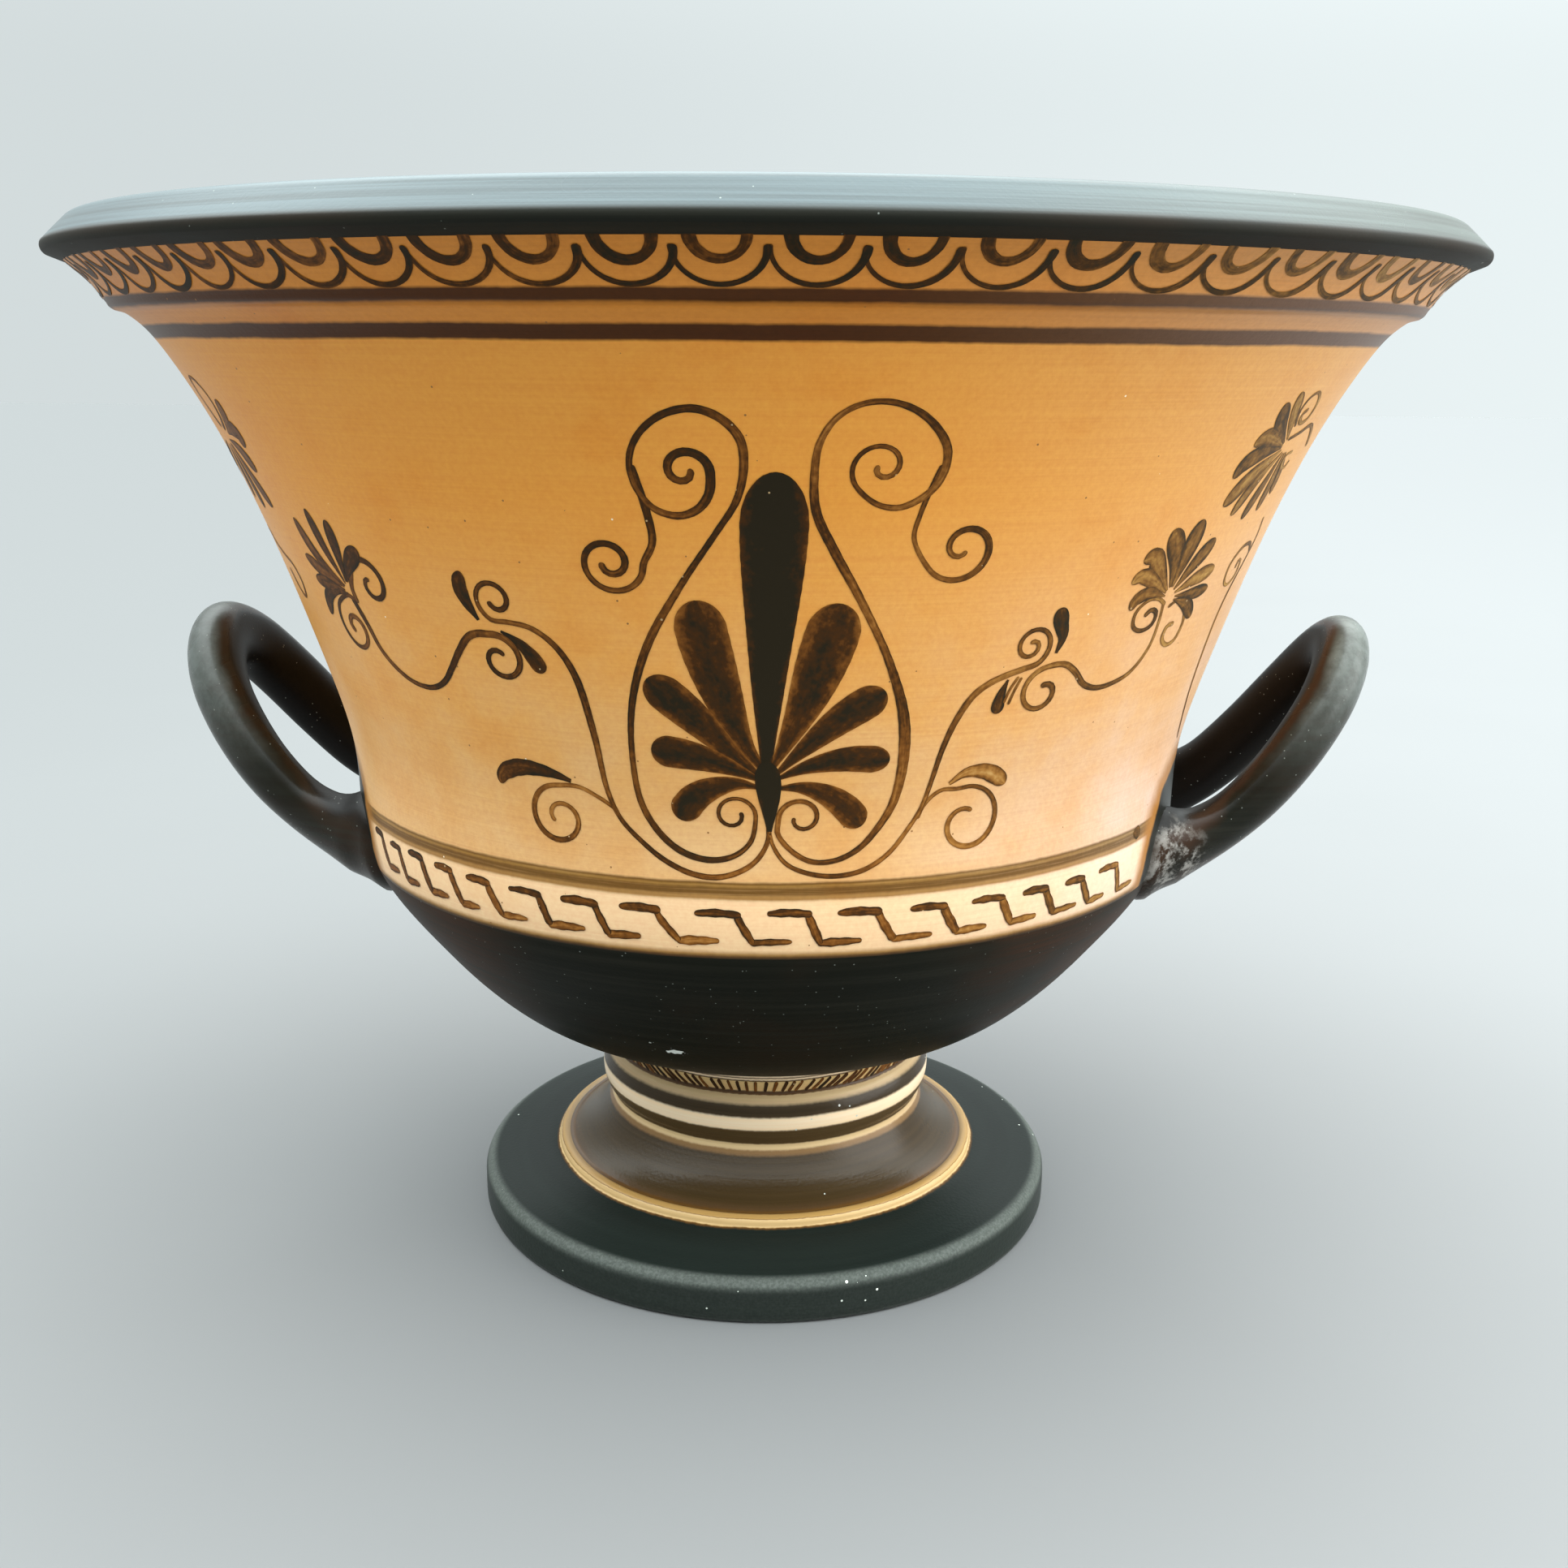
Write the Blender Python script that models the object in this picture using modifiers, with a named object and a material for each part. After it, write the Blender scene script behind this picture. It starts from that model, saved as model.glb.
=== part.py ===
"""Calyx krater of fired clay: a flaring mixing bowl on a moulded stem and a disc foot, with a
heavy lip and two loop handles that rise from the bulge of the bowl.

The pot is one fired piece. It stands on the XY plane with its axis on Z, and its handles lie
along X. Lengths are written in millimetres and turned into metres as the meshes are made.
"""

import math

import bmesh
import bpy
from mathutils import Matrix, Vector

MM = 0.001

# Driving dimensions of the turned pot
HEIGHT = 209.0
LIP_RADIUS = 137.3
FOOT_RADIUS = 64.0
WALL = 5.6                 # thickness of the bowl's wall
STEP_HEIGHT = 192.0        # where the frieze collar steps back to the bowl's wall
BULGE_RADIUS = 86.9        # the bowl's widest point below the flare
BULGE_HEIGHT = 98.0
FLOOR_HEIGHT = 47.0        # inside of the bowl at its centre

# Stem and foot
NECK_RADIUS = 34.4         # under the bowl
TORUS_RADIUS = 36.9
TORUS_HEIGHT = 30.2
TORUS_HALF_HEIGHT = 5.0
WAIST_RADIUS = 35.2        # above and below the torus
DISC_EDGE_HEIGHT = 6.4     # upright part of the foot disc's edge
DISC_EDGE_ROUND = 3.0
HOLLOW_RADIUS = 52.0       # mouth of the hollow under the foot
HOLLOW_NECK = 27.5         # the hollow inside the stem
HOLLOW_TOP = 39.0

# Handles
HANDLE_KNOTS = (           # reach along X, distance from the XZ plane, height
    (72.0, 28.4, 85.4),
    (83.9, 25.6, 88.2),
    (95.8, 22.4, 93.4),
    (105.2, 20.6, 102.4),
    (114.2, 15.6, 114.6),
    (118.4, 8.6, 122.0),
    (119.8, 0.0, 124.9),
)
HANDLE_SPREADS = {"left": 1.08, "right": 0.90}     # hand-shaped, so one loop is wider
HANDLE_GIRTHS = {"left": 1.0, "right": 0.94}
HANDLE_LIFTS = {"left": 0.0, "right": 1.8}         # how much higher the top of the loop stands
HANDLE_TILT = math.radians(40.0)                   # of the loop's plane, up from level
HANDLE_LONG_RADII = (7.2, 7.4)                     # the arm's oval section at the root and the top
HANDLE_SHORT_RADII = (4.8, 6.0)
HANDLE_SECTION_TURN = math.radians(50.0)
HANDLE_FLARE = 0.45                                # how much wider the arm is at the wall
HANDLE_FLARE_LENGTH = 15.0
PLUG_DEPTH = 2.8                                   # the arms end this far inside the surface

# Fineness of the solids
SEGMENTS = 50
HANDLE_SIDES = 12
HANDLE_STEPS_PER_SPAN = 2

CLAY_BROWN_BLACK = (0.028, 0.024, 0.022, 1.0)


def arc(centre, radius, start, end, steps):
    """Points of an arc in the (radius, height) plane, from one angle to another in degrees."""
    points = []
    for i in range(steps + 1):
        angle = math.radians(start + (end - start) * i / steps)
        points.append((centre[0] + radius * math.cos(angle), centre[1] + radius * math.sin(angle)))
    return points


def smooth(knots, steps):
    """A centripetal Catmull-Rom curve through the knots, with its ends running straight on."""
    knots = [Vector(k) for k in knots]
    chain = [2 * knots[0] - knots[1]] + knots + [2 * knots[-1] - knots[-2]]
    points = []
    for a, b, c, d in zip(chain, chain[1:], chain[2:], chain[3:]):
        t1 = (b - a).length ** 0.5
        t2 = t1 + (c - b).length ** 0.5
        t3 = t2 + (d - c).length ** 0.5
        for i in range(steps):
            t = t1 + (t2 - t1) * i / steps
            ab = a + (b - a) * (t / t1)
            bc = b + (c - b) * ((t - t1) / (t2 - t1))
            cd = c + (d - c) * ((t - t2) / (t3 - t2))
            abc = ab + (bc - ab) * (t / t2)
            bcd = bc + (cd - bc) * ((t - t1) / (t3 - t1))
            points.append(abc + (bcd - abc) * ((t - t1) / (t2 - t1)))
    points.append(knots[-1])
    return [tuple(p) for p in points]


def inside_of(points, depth):
    """The line that runs at a depth inside an outer profile, which goes down its outer side."""
    moved = []
    for i, (radius, height) in enumerate(points):
        before = Vector(points[max(i - 1, 0)])
        after = Vector(points[min(i + 1, len(points) - 1)])
        along = (after - before).normalized()
        moved.append((radius + along.y * depth, height - along.x * depth))
    return moved


def lip_profile():
    """The lip from its inner edge over the crest and the nose to the frieze collar's top."""
    crest = arc((LIP_RADIUS - 6.3, HEIGHT - 3.0), 3.0, 155, 42, 4)
    nose = arc((LIP_RADIUS - 1.5, HEIGHT - 5.5), 1.5, 25, -50, 2)
    return crest + nose


def collar_profile():
    """The hollow-curved collar that carries the tongue frieze, down to its small step."""
    cove = smooth([(133.6, 201.1), (129.9, 197.9), (127.2, 194.2)], 2)
    return cove + [(126.2, 193.1)]


def wall_profile():
    """The flaring wall, from the collar's step down to the bulge."""
    return [(123.4, STEP_HEIGHT), (120.3, 189.3), (115.8, 182.7), (109.2, 171.1), (101.2, 152.3),
            (94.6, 133.1), (90.2, 119.6), (88.0, 111.4), (87.1, 104.8), (BULGE_RADIUS, BULGE_HEIGHT)]


def bowl_profile():
    """The rounded underside of the bowl, from the bulge to the stem."""
    return [(86.7, 91.5), (85.7, 86.0), (83.6, 80.9), (79.5, 74.7), (74.6, 68.5), (69.0, 61.6),
            (62.8, 55.3), (56.6, 50.3), (50.0, 46.7), (43.0, 43.7), (36.8, 41.8)]


def stem_profile():
    """Neck, torus and waist, down to the start of the flare."""
    sag = TORUS_RADIUS - WAIST_RADIUS
    bend = (TORUS_HALF_HEIGHT ** 2 + sag ** 2) / (2 * sag)
    sweep = math.degrees(math.asin(TORUS_HALF_HEIGHT / bend))
    torus = arc((TORUS_RADIUS - bend, TORUS_HEIGHT), bend, sweep, -sweep, 5)
    return [(NECK_RADIUS, 40.4), (NECK_RADIUS, 36.8)] + torus


def foot_profile():
    """The flare, the small ring, the sloping disc and its rounded edge."""
    flare = smooth([(35.4, 22.6), (38.4, 18.2), (44.2, 13.6)], 2)
    ring = [(44.9, 13.7), (46.6, 12.9), (47.3, 11.8)]
    shoulder = arc((FOOT_RADIUS - DISC_EDGE_ROUND, DISC_EDGE_HEIGHT), DISC_EDGE_ROUND, 78, 0, 4)
    return flare + ring + shoulder + [(FOOT_RADIUS, 1.0), (FOOT_RADIUS - 1.0, 0.0)]


def hollow_profile():
    """The hollow under the foot, from its mouth up inside the stem to the axis."""
    return [(HOLLOW_RADIUS, 0.0), (HOLLOW_RADIUS - 2.5, 3.4), (35.0, 6.6), (HOLLOW_NECK + 0.8, 13.0),
            (HOLLOW_NECK, 24.0), (HOLLOW_NECK - 1.0, 33.0), (HOLLOW_NECK - 8.0, 37.8), (0.0, HOLLOW_TOP)]


def cavity_profile():
    """The inside of the bowl, from the axis up to the lip's inner edge."""
    outer = wall_profile()[1:] + bowl_profile()[1:-2]
    wall = list(reversed(inside_of(outer, WALL)))
    return [(0.0, FLOOR_HEIGHT), (30.0, FLOOR_HEIGHT + 0.5)] + wall[1:] + [(123.0, 201.0)]


def turned(name, profile, collection):
    """A solid of revolution about Z from a profile at +X."""
    mesh = bpy.data.meshes.new(name)
    shape = bmesh.new()
    verts = [shape.verts.new((radius * MM, 0.0, height * MM)) for radius, height in profile]
    for first, second in zip(verts, verts[1:]):
        shape.edges.new((first, second))
    shape.to_mesh(mesh)
    shape.free()
    obj = bpy.data.objects.new(name, mesh)
    collection.objects.link(obj)
    screw = obj.modifiers.new("Turn", "SCREW")
    screw.axis = "Z"
    screw.angle = math.tau
    screw.steps = screw.render_steps = SEGMENTS
    screw.use_merge_vertices = True
    screw.merge_threshold = 0.00001
    screw.use_smooth_shade = True
    return obj


def handle_rings(side):
    """Oval sections along one loop, from root to root, as lists of points in metres."""
    spread, girth = HANDLE_SPREADS[side], HANDLE_GIRTHS[side]
    arm = []
    for reach, across, height in HANDLE_KNOTS:
        share = max(0.0, (reach - BULGE_RADIUS) / (HANDLE_KNOTS[-1][0] - BULGE_RADIUS))
        arm.append((reach + 0.5 * HANDLE_LIFTS[side] * share, across * spread,
                    height + HANDLE_LIFTS[side] * share))
    other = [(reach, -across, height) for reach, across, height in reversed(arm[:-1])]
    path = [Vector(p) for p in smooth(arm + other, HANDLE_STEPS_PER_SPAN)]
    upright = Vector((-math.sin(HANDLE_TILT), 0.0, math.cos(HANDLE_TILT)))
    top_reach = arm[-1][0]
    rings = []
    for i, centre in enumerate(path):
        along = (path[min(i + 1, len(path) - 1)] - path[max(i - 1, 0)]).normalized()
        outward = along.cross(upright).normalized()
        upward = outward.cross(along)
        turn = Matrix.Rotation(-HANDLE_SECTION_TURN, 3, along)
        from_wall = max(0.0, math.hypot(centre.x, centre.y) - BULGE_RADIUS)
        near = max(0.0, 1.0 - from_wall / HANDLE_FLARE_LENGTH)
        width = girth * (1.0 + HANDLE_FLARE * near ** 2)
        rise = min(1.0, max(0.0, (centre.x - BULGE_RADIUS) / (top_reach - BULGE_RADIUS)))
        long_radius = width * (HANDLE_LONG_RADII[0] * (1.0 - rise) + HANDLE_LONG_RADII[1] * rise)
        short_radius = width * (HANDLE_SHORT_RADII[0] * (1.0 - rise) + HANDLE_SHORT_RADII[1] * rise)
        ring = []
        for k in range(HANDLE_SIDES):
            angle = math.tau * k / HANDLE_SIDES
            offset = (turn @ upward) * (math.cos(angle) * long_radius)
            offset += (turn @ outward) * (math.sin(angle) * short_radius)
            ring.append((centre + offset) * MM)
        rings.append(ring)
    return rings


def loft(name, rings, collection):
    """A closed solid through a row of rings, capped at both ends."""
    shape = bmesh.new()
    rows = [[shape.verts.new(point) for point in ring] for ring in rings]
    for low, high in zip(rows, rows[1:]):
        for k in range(len(low)):
            nxt = (k + 1) % len(low)
            shape.faces.new((low[k], low[nxt], high[nxt], high[k]))
    shape.faces.new(reversed(rows[0]))
    shape.faces.new(rows[-1])
    bmesh.ops.recalc_face_normals(shape, faces=shape.faces)
    mesh = bpy.data.meshes.new(name)
    shape.to_mesh(mesh)
    shape.free()
    mesh.shade_smooth()
    obj = bpy.data.objects.new(name, mesh)
    collection.objects.link(obj)
    return obj


def boolean(obj, name, operation, other):
    modifier = obj.modifiers.new(name, "BOOLEAN")
    modifier.operation = operation
    modifier.solver = "EXACT"
    modifier.object = other


def as_guide(obj):
    obj.hide_render = True
    obj.display_type = "WIRE"


def plug_profile():
    """A core just inside the wall, which trims the handles' roots off within the clay."""
    core = inside_of(wall_profile()[4:] + bowl_profile()[:6], PLUG_DEPTH)
    return [(0.0, core[0][1])] + core + [(0.0, core[-1][1])]


def clay_material():
    material = bpy.data.materials.new("painted_clay")
    material.use_nodes = True
    shader = material.node_tree.nodes["Principled BSDF"]
    shader.inputs["Base Color"].default_value = CLAY_BROWN_BLACK
    shader.inputs["Roughness"].default_value = 0.45
    shader.inputs["Metallic"].default_value = 0.0
    material.diffuse_color = CLAY_BROWN_BLACK
    return material


def build():
    for obj in list(bpy.data.objects):
        bpy.data.objects.remove(obj, do_unlink=True)
    parts = bpy.data.collections.new("greek_krater")
    cutters = bpy.data.collections.new("cutters")
    for collection in (parts, cutters):
        bpy.context.scene.collection.children.link(collection)

    outline = (cavity_profile() + lip_profile() + collar_profile() + wall_profile()
               + bowl_profile() + stem_profile() + foot_profile() + hollow_profile())
    krater = turned("krater", outline, parts)
    krater.data.materials.append(clay_material())

    plug = turned("wall_core", plug_profile(), cutters)
    as_guide(plug)
    for side in ("left", "right"):
        handle = loft("handle_" + side, handle_rings(side), cutters)
        if side == "left":
            handle.data.transform(Matrix.Rotation(math.pi, 4, "Z"))
        as_guide(handle)
        boolean(handle, "Trim root", "DIFFERENCE", plug)
        boolean(krater, "Join " + side + " handle", "UNION", handle)


build()
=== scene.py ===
# The looks of the greek krater: a turned clay pot with a black lip under a pale film, partly a painted
# highlight, a frieze of tongues, palmettes and scrolls on bare clay, a running key, and a black bowl,
# handles and foot.
#
# Lengths are in millimetres and turned into metres as the meshes are made. The studio is in metres,
# and a noise's scale is told per metre. A place on the pot is a pair: its turn in degrees from the
# middle of the front panel, growing to the right as the viewer sees it, and its height.

import bisect
import math
import random

import bpy
from mathutils import Matrix, Vector


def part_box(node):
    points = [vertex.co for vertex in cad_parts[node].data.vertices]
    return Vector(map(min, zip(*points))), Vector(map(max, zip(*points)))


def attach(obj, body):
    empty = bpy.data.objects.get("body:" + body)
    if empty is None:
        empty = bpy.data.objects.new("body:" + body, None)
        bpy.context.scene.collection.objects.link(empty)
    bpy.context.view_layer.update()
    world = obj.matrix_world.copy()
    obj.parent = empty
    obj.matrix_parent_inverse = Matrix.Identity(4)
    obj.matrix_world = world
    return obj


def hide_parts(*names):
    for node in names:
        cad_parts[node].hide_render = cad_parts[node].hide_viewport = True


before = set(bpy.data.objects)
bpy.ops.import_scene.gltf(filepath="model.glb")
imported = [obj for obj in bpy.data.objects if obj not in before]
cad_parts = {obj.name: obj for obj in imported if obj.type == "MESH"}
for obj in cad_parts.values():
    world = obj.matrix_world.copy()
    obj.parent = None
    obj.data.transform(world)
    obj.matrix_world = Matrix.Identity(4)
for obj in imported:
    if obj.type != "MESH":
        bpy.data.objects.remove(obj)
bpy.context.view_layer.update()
cad_low, cad_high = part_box("krater")

HEIGHT = 209.0
MM = (cad_high.z - cad_low.z) / HEIGHT

# The turned pot, as in the solids
LIP_RADIUS = 137.3
FOOT_RADIUS = 64.0
WALL = 5.6
BULGE_RADIUS = 86.9
FLOOR_HEIGHT = 47.0
FRIEZE_TOP = 201.1
BLACK_BOWL_TOP = 84.4
INNER_EDGE = (128.3, 207.2)
COLLAR_TOP = (133.6, FRIEZE_TOP)
COLLAR_FOOT = (122.6, 191.3)
NECK_TOP = (36.8, 41.8)
NECK_RADIUS = 34.4
TORUS_RADIUS = 36.9
TORUS_HEIGHT = 30.2
TORUS_HALF_HEIGHT = 5.0
WAIST_RADIUS = 35.2
RING_FOOT = 12.0            # where the small ring's gold ends on the disc
DISC_EDGE_HEIGHT = 6.4
DISC_EDGE_ROUND = 3.0
HOLLOW_RADIUS = 52.0
HOLLOW_NECK = 27.5
HOLLOW_TOP = 39.0

# The handles, as in the solids
HANDLE_KNOTS = (
    (72.0, 28.4, 85.4),
    (83.9, 25.6, 88.2),
    (95.8, 22.4, 93.4),
    (105.2, 20.6, 102.4),
    (114.2, 15.6, 114.6),
    (118.4, 8.6, 122.0),
    (119.8, 0.0, 124.9),
)
HANDLE_SPREADS = {"left": 1.08, "right": 0.90}
HANDLE_GIRTHS = {"left": 1.0, "right": 0.94}
HANDLE_LIFTS = {"left": 0.0, "right": 1.8}
HANDLE_TILT = math.radians(40.0)
HANDLE_LONG_RADII = (7.2, 7.4)
HANDLE_SHORT_RADII = (4.8, 6.0)
HANDLE_SECTION_TURN = math.radians(50.0)
HANDLE_FLARE = 0.45
HANDLE_FLARE_LENGTH = 15.0
PLUG_DEPTH = 2.8
FILLET = 2.0               # how far the clay is drawn out where an arm meets the wall
FILLET_REACH = 5.0
BURIED_FROM = 4.0          # how deep in the clay an arm begins to taper off
BURIED_LENGTH = 4.6
BURIED_TAPER = 0.4

# Fineness of the meshes and of the strokes
SEGMENTS = 256
HANDLE_SIDES = 32
HANDLE_STEPS = 8
STROKE_STEP = 0.8
STROKE_ENDS = (0.03, 0.12, 0.3, 0.6, 1.0)     # shares of a round end's length with a sample each
CURL_STEP = 24.0                              # degrees of a spiral from one knot to the next
ACROSS = (-1.0, -0.5, 0.0, 0.5, 1.0)          # where a stroke's points lie, in half widths

# The painted panels
FRONT_AZIMUTH = -85.4      # of the front panel's middle, in the object's frame
FACES = {"front": 0.0, "back": 180.0}
PAINT_LIFT = 0.06
STROKE_RISE = 0.03         # how much higher a stroke ends than it starts, so that crossings are clean
SWAY_LENGTH, SHAKE_RATE, UNEVEN_LENGTH = 7.0, 2.3, 5.3


# ---------------------------------------------------------------- outlines

def arc(centre, radius, start, end, steps, rise=None):
    """Points of an arc from one angle to another in degrees, or of an ellipse of another rise."""
    points = []
    for i in range(steps + 1):
        angle = math.radians(start + (end - start) * i / steps)
        up = (rise or radius) * math.sin(angle)
        points.append((centre[0] + radius * math.cos(angle), centre[1] + up))
    return points


def smooth(knots, steps):
    """A centripetal Catmull-Rom curve through the knots, with its ends running straight on."""
    knots = [Vector(k) for k in knots]
    chain = [2 * knots[0] - knots[1]] + knots + [2 * knots[-1] - knots[-2]]
    points = []
    for a, b, c, d in zip(chain, chain[1:], chain[2:], chain[3:]):
        t1 = max(1e-6, (b - a).length ** 0.5)
        t2 = t1 + max(1e-6, (c - b).length ** 0.5)
        t3 = t2 + max(1e-6, (d - c).length ** 0.5)
        for i in range(steps):
            t = t1 + (t2 - t1) * i / steps
            ab = a + (b - a) * (t / t1)
            bc = b + (c - b) * ((t - t1) / (t2 - t1))
            cd = c + (d - c) * ((t - t2) / (t3 - t2))
            abc = ab + (bc - ab) * (t / t2)
            bcd = bc + (cd - bc) * ((t - t1) / (t3 - t1))
            points.append(abc + (bcd - abc) * ((t - t1) / (t2 - t1)))
    points.append(knots[-1])
    return [tuple(p) for p in points]


def share_past(value, start, length):
    """How far a value is past a start, as a share of a length, from 0 to 1."""
    return min(1.0, max(0.0, (value - start) / length))


def relax(points, rounds):
    """The same curve with its small kinks evened out, and its ends left where they are."""
    points = [Vector(p) for p in points]
    for _ in range(rounds):
        points[1:-1] = [(a + 2 * b + c) / 4 for a, b, c in zip(points, points[1:], points[2:])]
    return [tuple(p) for p in points]


def inside_of(points, depth):
    """The line that runs at a depth inside an outer profile, which goes down its outer side."""
    moved = []
    for i, (radius, height) in enumerate(points):
        before = Vector(points[max(i - 1, 0)])
        after = Vector(points[min(i + 1, len(points) - 1)])
        along = (after - before).normalized()
        moved.append((radius + along.y * depth, height - along.x * depth))
    return moved


def lip_profile():
    crest = arc((LIP_RADIUS - 6.3, HEIGHT - 3.0), 3.0, 155, 42, 16)
    nose = arc((LIP_RADIUS - 1.5, HEIGHT - 5.5), 1.5, 25, -50, 8)
    face = smooth([crest[-1], (135.2, 206.1), nose[0]], 6)
    return crest + face[1:-1] + nose


def collar_profile():
    cove = smooth([COLLAR_TOP, (129.9, 197.9), (127.2, 194.2)], 10)
    corner = smooth([(127.2, 194.2), (126.75, 193.45), (126.0, 192.9)], 4)
    step = smooth([(126.0, 192.9), (124.2, 192.4), (123.2, 191.75), COLLAR_FOOT], 3)
    return cove + corner[1:] + step[1:]


def body_profile():
    """The wall and the bowl as one smooth line, from under the collar's step to the stem."""
    knots = [COLLAR_FOOT, (120.3, 189.3), (115.8, 182.7), (109.2, 171.1), (101.2, 152.3),
             (94.6, 133.1), (90.2, 119.6), (88.0, 111.4), (87.1, 104.8), (BULGE_RADIUS, 98.0),
             (86.7, 91.5), (85.7, 86.0), (83.6, 80.9), (79.5, 74.7), (74.6, 68.5), (69.0, 61.6),
             (62.8, 55.3), (56.6, 50.3), (50.0, 46.7), (43.0, 43.7), NECK_TOP]
    return relax(smooth(knots, 8), 24)


def split_at(points, height):
    """The part of a falling profile above a height and the part below it, both ending on it."""
    for i, (high, low) in enumerate(zip(points, points[1:])):
        if high[1] > height >= low[1]:
            share = (high[1] - height) / (high[1] - low[1])
            cut = (high[0] + (low[0] - high[0]) * share, height)
            return points[:i + 1] + [cut], [cut] + points[i + 1:]
    raise ValueError("the profile doesn't reach this height")


def stem_profile():
    sag = TORUS_RADIUS - WAIST_RADIUS
    bend = (TORUS_HALF_HEIGHT ** 2 + sag ** 2) / (2 * sag)
    sweep = math.degrees(math.asin(TORUS_HALF_HEIGHT / bend))
    torus = arc((TORUS_RADIUS - bend, TORUS_HEIGHT), bend, sweep, -sweep, 16)
    neck = smooth([NECK_TOP, (35.1, 41.1), (NECK_RADIUS, 39.6), (NECK_RADIUS, 37.2),
                   (34.6, 35.9), torus[0]], 4)
    return neck[:-1] + torus


def foot_profile():
    waist = smooth([(WAIST_RADIUS, TORUS_HEIGHT - TORUS_HALF_HEIGHT), (34.9, 24.0), (35.4, 22.6),
                    (38.4, 18.2), (41.2, 15.6), (44.2, 13.6)], 8)
    ring = arc((45.7, 12.4), 1.55, 118, -8, 10)
    disc = smooth([ring[-1], (48.2, 11.6), (54.0, 10.75), (61.0, 9.5)], 5)
    shoulder = arc((FOOT_RADIUS - DISC_EDGE_ROUND, DISC_EDGE_HEIGHT), DISC_EDGE_ROUND, 78, 0, 10)
    edge = [(FOOT_RADIUS, 4.5), (FOOT_RADIUS, 2.5), (FOOT_RADIUS - 0.05, 1.2),
            (FOOT_RADIUS - 0.4, 0.35), (FOOT_RADIUS - 1.0, 0.0)]
    return waist + ring + disc[1:-1] + shoulder + edge


def hollow_profile():
    return ([(60.0, 0.0), (56.0, 0.0), (HOLLOW_RADIUS, 0.0)]
            + smooth([(HOLLOW_RADIUS - 0.6, 0.2), (HOLLOW_RADIUS - 2.5, 3.4), (35.0, 6.6),
                      (HOLLOW_NECK + 0.8, 13.0), (HOLLOW_NECK, 24.0), (HOLLOW_NECK - 1.0, 33.0),
                      (HOLLOW_NECK - 8.0, 37.8), (0.0, HOLLOW_TOP)], 5))


def cavity_profile(body):
    """The inside, from the lip's inner edge down the wall and over the floor to the axis."""
    inner = inside_of(body[6:-26:4], WALL)      # every fourth point, short of the rim and the floor
    rim = smooth([INNER_EDGE, (125.6, 204.6), (123.0, 201.0), inner[0]], 5)
    floor = smooth([inner[-1], (30.0, FLOOR_HEIGHT + 0.5), (15.0, FLOOR_HEIGHT), (0.0, FLOOR_HEIGHT)], 5)
    return rim[:-1] + inner + floor[1:]


BODY = body_profile()
COLLAR = collar_profile()
OUTSIDE = COLLAR + BODY[1:] + stem_profile()[1:] + foot_profile()
OUTSIDE_HEIGHTS = [-height for _, height in OUTSIDE]


# ---------------------------------------------------------------- places on the pot

def radius_at(height):
    i = bisect.bisect_left(OUTSIDE_HEIGHTS, -height)
    i = min(max(i, 1), len(OUTSIDE) - 1)
    (above, top), (below, bottom) = OUTSIDE[i - 1], OUTSIDE[i]
    if top - bottom < 1e-9:
        return below
    return above + (below - above) * (top - height) / (top - bottom)


def slope_at(height, nearby=0.6):
    """How fast the radius grows with the height."""
    return (radius_at(height + nearby) - radius_at(height - nearby)) / (2 * nearby)


def metric(height):
    """Millimetres of surface for each degree of turn and for each millimetre of height."""
    return math.radians(1.0) * radius_at(height), math.hypot(1.0, slope_at(height))


def on_pot(turn, height, lift=0.0):
    """The point at a place on the pot, raised off its surface by a lift."""
    slope = slope_at(height)
    stretch = math.hypot(1.0, slope)
    radius = radius_at(height) + lift / stretch
    azimuth = math.radians(FRONT_AZIMUTH + turn)
    height -= lift * slope / stretch
    return Vector((radius * math.cos(azimuth), radius * math.sin(azimuth), height)) * MM


# ---------------------------------------------------------------- meshes

def in_scene(name, data):
    obj = bpy.data.objects.new(name, data)
    bpy.context.scene.collection.objects.link(obj)
    return obj


def add_mesh(name, verts, faces, corner_uvs, material, point_values=None):
    """A smooth-shaded piece with an unwrapping for its colours."""
    mesh = bpy.data.meshes.new(name)
    mesh.from_pydata(verts, [], faces)
    layer = mesh.uv_layers.new(name="OFBake")
    layer.data.foreach_set("uv", [value for uv in corner_uvs for value in uv])
    for key, values in (point_values or {}).items():
        mesh.attributes.new(key, "FLOAT", "POINT").data.foreach_set("value", values)
    mesh.materials.append(material)
    mesh.shade_smooth()
    mesh.validate()
    obj = in_scene(name, mesh)
    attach(obj, "root")
    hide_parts("krater")


def turned(name, profile, material):
    """A surface of revolution about Z from a profile that goes down its outer side."""
    runs = [0.0]
    for a, b in zip(profile, profile[1:]):
        runs.append(runs[-1] + math.dist(a, b))
    verts, rows = [], []
    for radius, height in profile:
        count = SEGMENTS if radius > 1e-6 else 1
        rows.append([len(verts) + k % count for k in range(SEGMENTS + 1)])
        for k in range(count):
            angle = math.tau * k / SEGMENTS
            verts.append(Vector((radius * math.cos(angle), radius * math.sin(angle), height)) * MM)
    faces, uvs = [], []
    for i, (top, bottom) in enumerate(zip(rows, rows[1:])):
        high, low = 1 - runs[i] / runs[-1], 1 - runs[i + 1] / runs[-1]
        for k in range(SEGMENTS):
            left, right = k / SEGMENTS, (k + 1) / SEGMENTS
            corners = [(top[k], (left, high)), (bottom[k], (left, low)),
                       (bottom[k + 1], (right, low)), (top[k + 1], (right, high))]
            if corners[1][0] == corners[2][0]:
                corners.pop(2)
            faces.append([vertex for vertex, _ in corners])
            uvs.extend(uv for _, uv in corners)
    add_mesh(name, verts, faces, uvs, material)


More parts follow.
